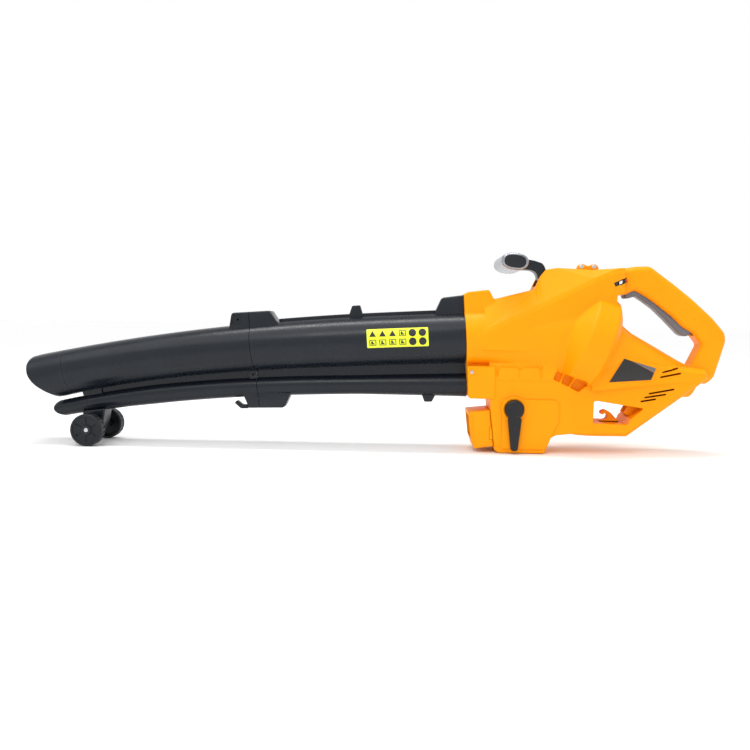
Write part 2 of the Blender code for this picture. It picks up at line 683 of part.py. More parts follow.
def spring():
    """The trigger's return spring, a plain coil standing between the trigger and the grip's wall."""
    x, low, high, radius, wire, turns = 186.5, 272.4, 306.8, 4.5, 0.8, 7
    rings = []
    steps = turns * 10
    for k in range(steps + 1):
        turn = math.tau * k / 10
        z = low + wire + (high - low - 2 * wire) * k / steps
        out = Vector((math.cos(turn), math.sin(turn), 0))
        centre = Vector((x, 0, z)) + out * radius
        ring = []
        for j in range(5):
            a = math.tau * j / 5
            ring.append(centre + out * math.cos(a) * wire + Vector((0, 0, math.sin(a) * wire)))
        rings.append(ring)
    part("trigger_spring", stack(rings), STEEL)


# ---------------------------------------------------------------- front handle

def front_handle():
    px, pz = HANDLE_PIVOT
    gx, gz = GRIP_CENTRE
    arm = [(gx + 14, 303), (gx + 24, 303.5), (10, 300), (14.5, 296), (16, 288), (20, 283), (28, 282.5), (33, 288)]
    arm += [(33.5, 299), (30, 307), (23.6, 314), (12, 318), (-1.5, 321), (gx + 14, 325)]
    body = prism(arm, -14, 14, 2)
    grip = grip_bar(0, GRIP_HALF_LENGTH)
    cut(body, grip_bar(GAP, 40))
    cut(body, disc(3 + GAP, -30, 30, (px, 0, pz), (0, 1, 0), 12))
    part("handle_arm", body, BLACK, (px, 0, pz))
    for side in (-1, 1):
        low, high = sorted((side * (GRIP_HALF_LENGTH - 2.5), side * (GRIP_HALF_LENGTH + 4)))
        cut(grip, inlay(low, high, 17.3, 10.3))
    part("handle_grip", grip, SILVER, (px, 0, pz))
    for name, side in (("grip_inlay_left", -1), ("grip_inlay_right", 1)):
        low, high = sorted((side * (GRIP_HALF_LENGTH - 2.2), side * (GRIP_HALF_LENGTH + 0.8)))
        part(name, inlay(low, high, 17, 10), GREY, (px, 0, pz))
    part("handle_pivot_pin", disc(3, -19.8, 19.8, (px, 0, pz), (0, 1, 0), 12), STEEL)


def grip_section(y, half_x, half_z, power):
    gx, gz = GRIP_CENTRE
    lean = math.radians(-7)
    ring = []
    for i in range(20):
        a = math.tau * (i + 0.5) / 20
        c, s = math.cos(a), math.sin(a)
        u = math.copysign(abs(c) ** (2 / power), c) * half_x
        v = math.copysign(abs(s) ** (2 / power), s) * half_z
        ring.append((gx + u * math.cos(lean) - v * math.sin(lean), y, gz + u * math.sin(lean) + v * math.cos(lean)))
    return ring


def grip_bar(grow, half_length):
    """The cross bar, a flattened oval with rounded ends."""
    rings = []
    for y, scale in ((-1, 0.8), (-0.965, 0.94), (-0.9, 1), (0.9, 1), (0.965, 0.94), (1, 0.8)):
        rings.append(grip_section(y * half_length, 22 * scale + grow, 13.5 * scale + grow, 2.4))
    return stack(rings)


def inlay(low, high, half_x, half_z):
    return stack([grip_section(low, half_x, half_z, 2.6), grip_section(high, half_x, half_z, 2.6)])


def main():
    clear_scene()
    rear_tube()
    front_tube()
    nozzle_tip()
    blow_tip()
    bag_hook()
    picture_label()
    running_gear()
    housing()
    selector()
    bag_port()
    strap_bracket()
    badge()
    speed_dial()
    cable_hook()
    power_inlet()
    fan()
    trigger()
    front_handle()


main()
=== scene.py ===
"""Looks of the electric leaf blower and vacuum: fine moulded shells, finishes, light and camera.

Lengths in this file are millimetres unless a name says otherwise; meshes are made in metres.
"""

import math

import bmesh
import bpy
from mathutils import Matrix, Vector


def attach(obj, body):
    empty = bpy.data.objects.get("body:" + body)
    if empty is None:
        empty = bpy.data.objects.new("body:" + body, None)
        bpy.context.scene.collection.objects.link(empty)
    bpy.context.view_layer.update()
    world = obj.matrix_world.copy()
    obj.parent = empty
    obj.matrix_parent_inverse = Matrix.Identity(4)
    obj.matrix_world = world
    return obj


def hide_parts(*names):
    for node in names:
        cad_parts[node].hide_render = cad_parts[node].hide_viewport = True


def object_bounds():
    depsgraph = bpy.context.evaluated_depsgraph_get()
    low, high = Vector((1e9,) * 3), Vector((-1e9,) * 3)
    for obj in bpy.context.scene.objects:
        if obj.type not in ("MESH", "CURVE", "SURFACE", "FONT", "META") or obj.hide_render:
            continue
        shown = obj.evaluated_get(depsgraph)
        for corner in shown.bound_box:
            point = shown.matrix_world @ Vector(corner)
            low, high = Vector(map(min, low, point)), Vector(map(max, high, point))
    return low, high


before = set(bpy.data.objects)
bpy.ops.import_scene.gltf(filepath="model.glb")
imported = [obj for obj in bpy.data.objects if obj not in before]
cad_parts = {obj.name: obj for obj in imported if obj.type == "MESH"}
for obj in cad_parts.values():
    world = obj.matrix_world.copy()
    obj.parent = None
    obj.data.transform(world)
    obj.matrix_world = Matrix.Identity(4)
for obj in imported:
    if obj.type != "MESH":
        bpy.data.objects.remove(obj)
cad_low, cad_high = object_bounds()

MM = 0.001
GAP = 0.3
WALL = 3.0
FAR = 1000.0
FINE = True
VOXEL = 1.1 if FINE else 1.8


# ---------------------------------------------------------------- mesh helpers

def from_bmesh(bm, name="piece"):
    """A linked object from a closed bmesh in millimetres, with its faces turned outward."""
    bmesh.ops.recalc_face_normals(bm, faces=bm.faces)
    bmesh.ops.scale(bm, vec=(MM, MM, MM), verts=bm.verts)
    mesh = bpy.data.meshes.new(name)
    bm.to_mesh(mesh)
    bm.free()
    obj = bpy.data.objects.new(name, mesh)
    bpy.context.collection.objects.link(obj)
    return obj


def stack(rings, loop=False):
    """A closed solid through equal rings of points; with loop, the last ring joins the first."""
    bm = bmesh.new()
    rows = [[bm.verts.new(p) for p in ring] for ring in rings]
    count = len(rings[0])
    pairs = list(zip(rows, rows[1:]))
    if loop:
        pairs.append((rows[-1], rows[0]))
    for a, b in pairs:
        for i in range(count):
            j = (i + 1) % count
            bm.faces.new((a[i], a[j], b[j], b[i]))
    if not loop:
        bm.faces.new(rows[0])
        bm.faces.new(rows[-1])
    return from_bmesh(bm)


def inset(outline, distance):
    """The outline moved inward by distance (outward where it is negative)."""
    count = len(outline)
    area = sum(outline[i - 1][0] * outline[i][1] - outline[i][0] * outline[i - 1][1] for i in range(count))
    side = 1.0 if area > 0 else -1.0
    moved = []
    for i in range(count):
        before, here, after = (Vector(outline[k % count]) for k in (i - 1, i, i + 1))
        first = (here - before).normalized()
        second = (after - here).normalized()
        normals = [Vector((-d.y, d.x)) * side for d in (first, second)]
        bisector = (normals[0] + normals[1]).normalized()
        reach = distance / max(bisector.dot(normals[0]), 0.35)
        moved.append(tuple(here + bisector * reach))
    return moved


def rounded(outline, radius, steps=5):
    """The outline with each corner turned into an arc of about that radius."""
    count = len(outline)
    points = []
    for i in range(count):
        before, here, after = (Vector(outline[k % count]) for k in (i - 1, i, i + 1))
        first, second = before - here, after - here
        reach = min(radius, first.length * 0.45, second.length * 0.45)
        a, b = here + first.normalized() * reach, here + second.normalized() * reach
        for k in range(steps + 1):
            t = k / steps
            points.append(tuple(a * (1 - t) ** 2 + here * 2 * t * (1 - t) + b * t ** 2))
    return points


def prism(outline, low, high, rim=0.0, steps=1):
    """An XZ outline run along Y from low to high, its rims chamfered, or rounded in steps."""
    if rim == 0.0:
        return stack([[(x, y, z) for x, z in outline] for y in (low, high)])
    levels = []
    for k in range(steps + 1):
        turn = math.pi / 2 * k / steps
        levels.append((rim * (1 - math.sin(turn)), rim * (1 - math.cos(turn))))
    rings = []
    for shrink, rise in levels:
        rings.append([(x, low + rise, z) for x, z in inset(outline, shrink)])
    for shrink, rise in reversed(levels):
        rings.append([(x, high - rise, z) for x, z in inset(outline, shrink)])
    return stack(rings)


def block(low, high):
    outline = [(low[0], low[2]), (high[0], low[2]), (high[0], high[2]), (low[0], high[2])]
    return prism(outline, low[1], high[1])


def oval(x, y, z, half_y, half_z, count, power=2.0, lean=0.0):
    """A ring in the YZ plane, rounder or squarer by its power, leaning back with height."""
    ring = []
    for i in range(count):
        turn = math.tau * (i + 0.5) / count
        c, s = math.cos(turn), math.sin(turn)
        up = math.copysign(abs(s) ** (2.0 / power), s) * half_z
        ring.append((x + up * lean, y + math.copysign(abs(c) ** (2.0 / power), c) * half_y, z + up))
    return ring


def turned(profile, origin, direction, count=64, closed=False, wave=None):
    """Revolves (radius, distance) pairs about an axis; wave may change a radius with its angle."""
    turn_to = Vector((0, 0, 1)).rotation_difference(Vector(direction)).to_matrix()
    rings = []
    for radius, along in profile:
        ring = []
        for i in range(count):
            turn = math.tau * (i + 0.5) / count
            r = radius + (wave(radius, along, turn) if wave else 0.0)
            ring.append(turn_to @ Vector((r * math.cos(turn), r * math.sin(turn), along)) + Vector(origin))
        rings.append(ring)
    return stack(rings, loop=closed)


def disc(radius, low, high, origin, direction, count=48, edge=0.0):
    if edge == 0.0:
        return turned([(radius, low), (radius, high)], origin, direction, count)
    profile = [(radius - edge, low), (radius - edge * 0.3, low + edge * 0.3), (radius, low + edge)]
    profile += [(radius, high - edge), (radius - edge * 0.3, high - edge * 0.3), (radius - edge, high)]
    return turned(profile, origin, direction, count)


def solve(base, others, operation):
    """Joins others to base, or cuts them from it, and removes them."""
    for other in others:
        step = base.modifiers.new(operation, "BOOLEAN")
        step.operation = operation
        step.solver = "MANIFOLD"
        step.object = other
        depsgraph = bpy.context.evaluated_depsgraph_get()
        mesh = bpy.data.meshes.new_from_object(base.evaluated_get(depsgraph))
        base.modifiers.clear()
        base.data = mesh
        bpy.data.objects.remove(other, do_unlink=True)
    return base


def union(base, *others):
    return solve(base, others, "UNION")


def cut(base, *others):
    return solve(base, others, "DIFFERENCE")


def common(base, *others):
    return solve(base, others, "INTERSECT")


def copy_of(obj):
    twin = obj.copy()
    twin.data = obj.data.copy()
    bpy.context.collection.objects.link(twin)
    return twin


def apply_modifiers(obj):
    depsgraph = bpy.context.evaluated_depsgraph_get()
    mesh = bpy.data.meshes.new_from_object(obj.evaluated_get(depsgraph))
    obj.modifiers.clear()
    obj.data = mesh
    return obj


def moulded(obj, voxel, passes, thin=0.0):
    """Melts a solid's parts together with small fillets, as one moulding has."""
    melt = obj.modifiers.new("melt", "REMESH")
    melt.mode = "VOXEL"
    melt.voxel_size = voxel * MM
    relax = obj.modifiers.new("relax", "SMOOTH")
    relax.factor = 0.5
    relax.iterations = passes
    if thin:
        reduce = obj.modifiers.new("reduce", "DECIMATE")
        reduce.decimate_type = "DISSOLVE"
        reduce.angle_limit = math.radians(thin)
    return apply_modifiers(obj)


def bevelled(obj, width, segments=3, angle=30):
    edge = obj.modifiers.new("edge", "BEVEL")
    edge.width = width * MM
    edge.segments = segments
    edge.limit_method = "ANGLE"
    edge.angle_limit = math.radians(angle)
    return apply_modifiers(obj)


def piece(name, obj, finish, body, nodes, sharp=38):
    """Names a piece, gives it its finish, hides the CAD nodes it stands for and ties it to the body."""
    obj.name = name
    obj.data.name = name
    obj.data.materials.clear()
    obj.data.materials.append(finish)
    obj.data.shade_smooth()
    obj.data.set_sharp_from_angle(angle=math.radians(sharp))
    if nodes:
        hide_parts(*nodes)
    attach(obj, body)
    return obj


# ---------------------------------------------------------------- finishes

def node_maker(name):
    mat = bpy.data.materials.new(name)
    mat.use_nodes = True
    tree = mat.node_tree
    return mat, tree, tree.nodes["Principled BSDF"]


def moulding(name, colour, worn, roughness, grain=900.0, bump=0.05, coat=0.0, metallic=0.0, mottle=0.06,
             wear=0.35, spread=0.12, specular=0.5):
    """Injection-moulded plastic: slight mottling, rubbed edges, fine grain and faint scuffs."""
    mat, tree, shader = node_maker(name)
    new, link = tree.nodes.new, tree.links.new
    place = new("ShaderNodeTexCoord")
    cloud = new("ShaderNodeTexNoise")
    cloud.inputs["Scale"].default_value = 14.0
    cloud.inputs["Detail"].default_value = 5.0
    link(place.outputs["Object"], cloud.inputs["Vector"])
    tone = new("ShaderNodeMapRange")
    tone.inputs["From Min"].default_value = 0.3
    tone.inputs["From Max"].default_value = 0.7
    tone.inputs["To Min"].default_value = 1.0 - mottle
    tone.inputs["To Max"].default_value = 1.0 + mottle
    link(cloud.outputs["Fac"], tone.inputs["Value"])
    tinted = new("ShaderNodeMix")
    tinted.data_type = "RGBA"
    tinted.blend_type = "MULTIPLY"
    tinted.inputs["Factor"].default_value = 1.0
    tinted.inputs["A"].default_value = (*colour, 1.0)
    link(tone.outputs["Result"], tinted.inputs["B"])
    shape = new("ShaderNodeNewGeometry")
    edge = new("ShaderNodeMapRange")
    edge.inputs["From Min"].default_value = 0.53
    edge.inputs["From Max"].default_value = 0.62
    edge.inputs["To Max"].default_value = wear
    link(shape.outputs["Pointiness"], edge.inputs["Value"])
    rub = new("ShaderNodeTexNoise")
    rub.inputs["Scale"].default_value = 60.0
    rub.inputs["Detail"].default_value = 3.0
    link(place.outputs["Object"], rub.inputs["Vector"])
    patchy = new("ShaderNodeMath")
    patchy.operation = "MULTIPLY"
    link(edge.outputs["Result"], patchy.inputs[0])
    link(rub.outputs["Fac"], patchy.inputs[1])
    finish = new("ShaderNodeMix")
    finish.data_type = "RGBA"
    link(patchy.outputs["Value"], finish.inputs["Factor"])
    link(tinted.outputs["Result"], finish.inputs["A"])
    finish.inputs["B"].default_value = (*worn, 1.0)
    link(finish.outputs["Result"], shader.inputs["Base Color"])
    scuff = new("ShaderNodeTexNoise")
    scuff.inputs["Scale"].default_value = 35.0
    scuff.inputs["Detail"].default_value = 6.0
    scuff.inputs["Roughness"].default_value = 0.7
    link(place.outputs["Object"], scuff.inputs["Vector"])
    rough = new("ShaderNodeMapRange")
    rough.inputs["From Min"].default_value = 0.3
    rough.inputs["From Max"].default_value = 0.7
    rough.inputs["To Min"].default_value = roughness - spread / 2
    rough.inputs["To Max"].default_value = roughness + spread / 2
    link(scuff.outputs["Fac"], rough.inputs["Value"])
    link(rough.outputs["Result"], shader.inputs["Roughness"])
    pores = new("ShaderNodeTexNoise")
    pores.inputs["Scale"].default_value = grain
    pores.inputs["Detail"].default_value = 2.0
    link(place.outputs["Object"], pores.inputs["Vector"])
    relief = new("ShaderNodeBump")
    relief.inputs["Strength"].default_value = bump
    relief.inputs["Distance"].default_value = 0.0004
    link(pores.outputs["Fac"], relief.inputs["Height"])
    link(relief.outputs["Normal"], shader.inputs["Normal"])
    shader.inputs["Metallic"].default_value = metallic
    shader.inputs["Coat Weight"].default_value = coat
    shader.inputs["Coat Roughness"].default_value = 0.2
    shader.inputs["Specular IOR Level"].default_value = specular
    return mat


AMBER = moulding("amber_abs", (0.95, 0.33, 0.001), (1.0, 0.42, 0.01), 0.4, mottle=0.03, wear=0.25,
                 specular=0.12)
BLACK = moulding("black_pp", (0.007, 0.010, 0.015), (0.05, 0.056, 0.066), 0.28, specular=0.3, mottle=0.15,
                 grain=1100, bump=0.08)
DARK = moulding("lever_pa", (0.012, 0.013, 0.016), (0.1, 0.1, 0.11), 0.42, specular=0.3, mottle=0.12,
                bump=0.1)
GREY = moulding("trigger_pa", (0.13, 0.13, 0.145), (0.25, 0.25, 0.27), 0.42, mottle=0.1, bump=0.1)
SILVER = moulding("silver_paint", (0.3, 0.31, 0.34), (0.2, 0.2, 0.21), 0.28, metallic=0.85,
                  coat=0.15, mottle=0.03)
YELLOW = moulding("label_film", (0.80, 0.90, 0.02), (0.9, 0.95, 0.4), 0.35, mottle=0.02, wear=0.1, bump=0.02)
PRINT = moulding("label_ink", (0.012, 0.012, 0.012), (0.03, 0.03, 0.03), 0.45, mottle=0.05, wear=0.1,
                 bump=0.02)
WHITE = moulding("white_ink", (0.8, 0.8, 0.8), (0.7, 0.7, 0.7), 0.45, mottle=0.04, wear=0.1, bump=0.02)
RED = moulding("red_ink", (0.55, 0.01, 0.01), (0.6, 0.1, 0.1), 0.4, mottle=0.05, wear=0.1, bump=0.02)
STEEL = moulding("zinc_steel", (0.55, 0.55, 0.57), (0.75, 0.75, 0.76), 0.32, metallic=1.0, mottle=0.08)
TYRE = moulding("wheel_pp", (0.010, 0.012, 0.015), (0.08, 0.08, 0.09), 0.45, specular=0.25, mottle=0.2,
                bump=0.18, grain=700)
IRON = moulding("motor_iron", (0.2, 0.2, 0.22), (0.35, 0.35, 0.37), 0.45, metallic=0.9, mottle=0.1)
COPPER = moulding("motor_copper", (0.7, 0.3, 0.14), (0.85, 0.5, 0.3), 0.35, metallic=1.0, mottle=0.12)
NYLON = moulding("natural_nylon", (0.75, 0.74, 0.7), (0.85, 0.85, 0.82), 0.45, mottle=0.04)
BOARD = moulding("board_mask", (0.02, 0.16, 0.06), (0.1, 0.3, 0.12), 0.4, mottle=0.1)




# ---------------------------------------------------------------- tubes

TUBE_ROOT_X = -104.0
SEAM_X = -455.0
TIP_SEAM_X = -776.0
BLOW_TIP_SEAM_X = -742.0
SEAM_LEAN = 0.11
COLLAR_X, COLLAR_Z, COLLAR_LEAN = -103.4, 262.0, 0.056
TUBE_WALL = 2.6


def suction_z(x):
    s = TUBE_ROOT_X - x
    return 189.5 - 0.0452 * s - 0.1245 * s ** 3 * MM * MM


def blow_z(x):
    s = TUBE_ROOT_X - x
    return 109.5 - 0.0096 * s - 0.1385 * s ** 3 * MM * MM


def suction_radius(x):
    """Wide at the housing, slimmest near X -600, and flared at the nozzle."""
    s = (TUBE_ROOT_X - x) / 500.0
    return 43.0 - 2.2 * s - 4.6 * max(0.0, s - 0.4) + 22.0 * max(0.0, s - 1.12) ** 2 + 3.4 * max(0.0, s - 1.0)


def blow_radius(x):
    s = (TUBE_ROOT_X - x) / 500.0
    return 20.0 - 3.4 * min(1.0, s / 0.35) - 11.0 * max(0.0, s - 1.04) ** 1.2


def blow_half_width(x):
    return blow_radius(x) + 9.0 * max(0.0, (TUBE_ROOT_X - x) / 500.0 - 1.0)


def bar(stations, centre, half_y, half_z, less, count):
    rings = []
    for x in stations:
        lean = (centre(x + 1) - centre(x - 1)) / 2.0
        rings.append(oval(x, 0, centre(x), half_y(x) - less, half_z(x) - less, count, lean=-lean))
    return stack(rings)


def even(start, end, step=9.0):
    count = max(2, int(abs(end - start) / step))
    return [start + (end - start) * k / count for k in range(count + 1)]


def suction(start, end, less, count=96):
    return bar(even(start, end), suction_z, suction_radius, suction_radius, less, count)


def blow(start, end, less, count=56):
    return bar(even(start, end), blow_z, blow_half_width, blow_radius, less, count)


def web(start, end, half):
    xs = even(start, end, 40.0)
    top = [(x, suction_z(x) - suction_radius(x) + 6) for x in xs]
    bottom = [(x, blow_z(x) + blow_radius(x) - 5) for x in reversed(xs)]
    return prism(top + bottom, -half, half)


def seam_cut(x, side, gap=0.45):
    """A block whose face is the tilted plane of the joint between the tube sections."""
    near = x + gap * side
    far = FAR * side
    lean = SEAM_LEAN * 200
    return prism([(near - lean, 350), (far, 350), (far, -50), (near + lean, -50)], -200, 200)


def collar_cut(shift):
    """Everything in front of the slanted face where the tubes meet the housing."""
    low, high = (COLLAR_X + (COLLAR_Z - z) * COLLAR_LEAN + shift for z in (0, 350))
    return prism([(-FAR, 350), (high, 350), (low, 0), (-FAR, 0)], -200, 200)


def clam(name, whole, finish, body, plane=0.0, gap=0.12):
    """Splits a moulding at an upright plane into the pieces for its left and right nodes."""
    left = copy_of(whole)
    common(left, block((-FAR, -FAR, -FAR), (FAR, plane - gap / 2, FAR)))
    common(whole, block((-FAR, plane + gap / 2, -FAR), (FAR, FAR, FAR)))
    piece(name + "_left_shell", left, finish, body, [name + "_left"])
    piece(name + "_right_shell", whole, finish, body, [name + "_right"])


def flange_top():
    outline = [(-497, 196), (-492.5, 223), (-491, 225.2), (-488, 226.4), (-430, 230.4), (-427, 229.6)]
    outline += [(-410, 204)]
    return prism(outline, -21.5, 21.5, 2.4, 3)


def flange_bottom(front, rear):
    outline = [(front, 92), (-464.5, 65.5), (-463, 64.6), (-406, 66), (-402, 68.4), (-391, 92)]
    return prism(outline, -13.2, 13.2, 2, 3)


def rear_tube():
    whole = suction(-86, SEAM_X - 30, 0)
    xs = even(-414, -149, 20)
    rib_low = [(x, suction_z(x) + suction_radius(x) - 4) for x in xs]
    rib_high = [(x, suction_z(x) + suction_radius(x) + 4.6) for x in reversed(xs)]
    union(whole, blow(-86, SEAM_X - 30, 0), web(-88, SEAM_X - 30, 4.0))
    union(whole, prism(rib_low + rib_high, -4.6, 4.6, 1.0, 2))
    top = [(-152, 215), (-149.5, 233), (-140, 254), (-137, 256), (-98, 261.2), (-98, 215)]
    union(whole, prism(top, -16, 16, 2.6, 3))
    lug = [(-298, 215), (-290, 239.6), (-288, 240.8), (-277.5, 241.6), (-276, 240.6), (-268, 215)]
    union(whole, prism(lug, -7.5, 7.5, 1.2, 2))
    union(whole, prism([(-171, 95), (-165.5, 80.6), (-163, 79.8), (-154, 80), (-152, 81), (-145, 95)],
                       -7.5, 7.5, 1.2, 2))
    union(whole, flange_top(), flange_bottom(-500, -391))
    cut(whole, suction(TUBE_ROOT_X + 20, SEAM_X - 50, TUBE_WALL))
    cut(whole, blow(TUBE_ROOT_X + 20, SEAM_X - 50, TUBE_WALL))
    for side in (-1, 1):
        cut(whole, disc(1.7, 0, 9, (-134, side * 10, 262), (0.35, 0, -0.94), 16))
    common(whole, seam_cut(SEAM_X, 1))
    common(whole, collar_cut(-0.5))
    clam("rear_tube", whole, BLACK, "machine")


def front_tube():
    whole = suction(SEAM_X + 30, TIP_SEAM_X, 0)
    union(whole, blow(SEAM_X + 30, BLOW_TIP_SEAM_X, 0), web(SEAM_X + 30, -721, 4.0))
    strut = prism([(-760, 100), (-722, 100), (-718, 70), (-748, 64)], -7.5, 7.5, 1.5, 2)
    cut(strut, blow(BLOW_TIP_SEAM_X + 0.5, -800, -GAP))
    union(whole, strut, flange_top(), flange_bottom(-476, -391))
    boss_outline = rounded([(-464, 128.5), (-447.5, 129.7), (-446.5, 115.7), (-463, 114.5)], 2)
    boss = prism(boss_outline, -12, 12, 0.8, 2)
    union(whole, boss)
    for side in (-1, 1):
        cut(whole, disc(2.0, -6, 2, (-456.6, side * 12, 122), (0, side, 0), 24))
        recess = prism(rounded([(-491, 222.5), (-472, 224), (-473, 207), (-492, 206)], 4), -4.2, 4.2, 1.2, 2)
        recess.data.transform(Matrix.Translation((-2 * MM, side * 20.5 * MM, -0.5 * MM)))
        cut(whole, recess, disc(1.8, -9, 3, (-482, side * 18, 215), (0, side, 0), 20))
    cut(whole, suction(SEAM_X + 50, TIP_SEAM_X - 20, TUBE_WALL))
    cut(whole, blow(SEAM_X + 50, BLOW_TIP_SEAM_X - 20, TUBE_WALL))
    common(whole, seam_cut(SEAM_X, -1))
    clam("front_tube", whole, BLACK, "machine")


def nozzle_tip():
    """The slanted mouth of the suction tube, with a bead just inside its lip."""
    tip = suction(TIP_SEAM_X - 0.45, -849, 0)
    side = [(-760, 172), (-823, 161.5), (-834, 153), (-840, 145), (-841.8, 134), (-837, 117), (-826, 101.5)]
    side += [(-812, 90), (-800, 81.5), (-788, 72), (-760, 72)]
    mouth = rounded(side, 9, 4)
    lip = common(suction(TIP_SEAM_X - 0.45, -849, 0.6), prism(mouth, -60, 60))
    common(tip, prism(inset(mouth, 5.5), -60, 60))
    union(tip, lip)
    cut(tip, suction(TIP_SEAM_X + 20, -863, TUBE_WALL))
    common(tip, block((-FAR, -90, 40), (TIP_SEAM_X + 10, 90, 200)))
    piece("nozzle_mouth", tip, BLACK, "machine", ["nozzle_tip"], 30)


def blow_tip():
    tip = blow(BLOW_TIP_SEAM_X - 0.45, -815, 0)
    side = [(-724, 90), (-782, 78.5), (-794, 72.5), (-800, 66), (-802, 60), (-800, 54), (-794, 48.5)]
    common(tip, prism(rounded(side + [(-782, 44), (-724, 40)], 6, 4), -40, 40))
    cut(tip, blow(BLOW_TIP_SEAM_X + 20, -830, TUBE_WALL))
    piece("blower_mouth", tip, BLACK, "machine", ["blow_nozzle_tip"], 30)


def bag_hook():
    outline = [(-466, 62.9), (-479.5, 62.6), (-490.5, 72.2), (-486, 77), (-476.6, 69.6), (-468.2, 69.6)]
    hook = prism(rounded(outline, 2.2), -5.8, 5.8, 1.2, 2)
    piece("bag_hook_arm", hook, BLACK, "machine", ["bag_hook"])


# ---------------------------------------------------------------- picture label

LABEL_START, LABEL_END = -262.0, -161.0
LABEL_HALF_TURN = math.radians(21)
LABEL_RAISE = math.radians(6)
INK = (0.75, 0.83)           # how far the print starts and ends above the tube


def on_tube(u, v, lift):
    """A point on the tube's near side: u is 0 to 1 along the label, v is -1 to 1 up it."""
    x = LABEL_START + (LABEL_END - LABEL_START) * u
    turn = LABEL_RAISE + LABEL_HALF_TURN * v
    x -= 0.07 * math.sin(turn) * 40
    r = suction_radius(x) + lift
    return Vector((x, -r * math.cos(turn), suction_z(x) + r * math.sin(turn)))


def film(outline, low, high, slices=14):
    """A thin printed shape given in label coordinates, bent round the tube."""
    bm = bmesh.new()
    flat = bm.faces.new([bm.verts.new((u, v, 0)) for u, v in outline])
    bmesh.ops.triangulate(bm, faces=[flat])
    for axis, lowest, highest in ((0, 0, 1), (1, -1, 1)):
        for k in range(1, slices):
            at = lowest + (highest - lowest) * k / slices
            normal = (1, 0, 0) if axis == 0 else (0, 1, 0)
            spot = (at, 0, 0) if axis == 0 else (0, at, 0)
            geometry = bm.verts[:] + bm.edges[:] + bm.faces[:]
            bmesh.ops.bisect_plane(bm, geom=geometry, plane_co=spot, plane_no=normal)
    made = bmesh.ops.extrude_face_region(bm, geom=bm.faces[:])
    for v in made["geom"]:
        if isinstance(v, bmesh.types.BMVert):
            v.co.z = 1
    for v in bm.verts:
        v.co = on_tube(v.co.x, v.co.y, high if v.co.z > 0.5 else low)
    return from_bmesh(bm)


def ring_of(u, v, size, count=20):
    """A round outline on the label; size is in millimetres."""
    wide = size / (LABEL_END - LABEL_START)
    tall = size / (LABEL_HALF_TURN * 42.0)
    turns = [math.tau * k / count for k in range(count)]
    return [(u + wide * math.cos(turn), v + tall * math.sin(turn)) for turn in turns]


def label():
    """A yellow film with two rows of plain generic marks: triangles, bars and discs."""
    plate = [(0.01, -1), (0.99, -1), (1, -0.94), (1, 0.94), (0.99, 1), (0.01, 1), (0, 0.94), (0, -0.94)]
    sheet = film(plate, 0.25, 0.75)
    piece("label_film_sheet", sheet, YELLOW, "machine", ["picture_label"])
    marks = []
    for row, v in enumerate((0.46, -0.46)):
        for column in range(6):
            u = 0.095 + column * 0.162
            if column >= 4:
                marks.append(film(ring_of(u, v, 6.2), *INK))
                continue
            if row == 0 and column < 3:
                corners = [(u - 0.055, v - 0.3), (u + 0.055, v - 0.3), (u, v + 0.34)]
                marks.append(film(corners, *INK))
                continue
            wide, tall = 0.056, 0.3
            frame_line = 0.012
            for a, b in (((u - wide, v + tall - 0.07), (u + wide, v + tall)),
                         ((u - wide, v - tall), (u + wide, v - tall + 0.07)),
                         ((u - wide, v - tall + 0.08), (u - wide + frame_line, v + tall - 0.08)),
                         ((u + wide - frame_line, v - tall + 0.08), (u + wide, v + tall - 0.08))):
                marks.append(film([a, (b[0], a[1]), b, (a[0], b[1])], *INK))
            marks.append(film(ring_of(u - 0.012, v + 0.06, 1.7, 14), *INK))
            wedge = [(u - 0.03, v - 0.17), (u + 0.03, v - 0.17), (u + 0.018, v - 0.02), (u - 0.03, v - 0.06)]
            marks.append(film(wedge, *INK))
    for index, mark in enumerate(marks):
        piece(f"label_mark_{index + 1:02d}", mark, PRINT, "machine", [])


# ---------------------------------------------------------------- housing

FAN_CENTRE = Vector((100.0, 0.0, 185.0))
FAN_TILT = math.radians(21.5)
FAN_AXIS = Vector((math.cos(FAN_TILT), 0.0, -math.sin(FAN_TILT)))
DRUM_RADIUS = 82.7
HALF_WIDTH = 38.9
FRAME_HALF = 36.9
GRIP_HALF = 19.4
LEVER = (-18.7, 73.6)
HANDLE_PIVOT = (25.0, 291.0)
DIAL = Vector((149.0, -20.0, 283.0))
DIAL_TILT = math.radians(21.0)
COLLAR_TOP = [(-103.4, 214), (-103.4, 261.8), (-97, 265.3), (-64, 269.3), (-61.5, 268), (-46, 240)]
COLLAR_TOP += [(-40, 214)]
COLLAR_LOW = [(-103.4, 143.8), (-103.4, 128), (-93.6, 92.4), (-91.5, 90), (-50, 89.5), (-50, 143.8)]
LOWER = [(-60, 127.5), (-57, 72), (-49, 5), (-42, 0.2), (33, 0.2), (44, 27), (52, 31), (78, 34), (112, 33)]
LOWER += [(112, 127.5)]
FRAME = [(58, 108), (66, 34.2), (89, 31.2), (115, 30.2), (168, 30.7), (287.7, 121.5), (297.8, 129)]
FRAME += [(292, 142), (268, 146), (180, 150), (110, 150)]
FRAME_HOLE = [(88.5, 52.8), (89, 60), (108, 88), (119, 89), (165, 82), (194, 78), (172, 60), (168, 51)]
HANDLE = [(120, 303), (150, 305), (175, 310.4), (202, 311.4), (213, 303), (243, 281), (271, 259), (306, 228)]
HANDLE += [(327.5, 203), (329.6, 190), (325, 173), (312.8, 128), (298, 116), (270, 135), (230, 160)]
HANDLE += [(160, 190), (120, 200)]
HANDLE_HOLE = [(144, 262), (144, 243), (153, 222), (154, 206), (272, 147), (289, 183), (274, 202)]
HANDLE_HOLE += [(256, 212.5), (239, 229), (206, 254), (185, 267), (176, 271), (164, 264)]
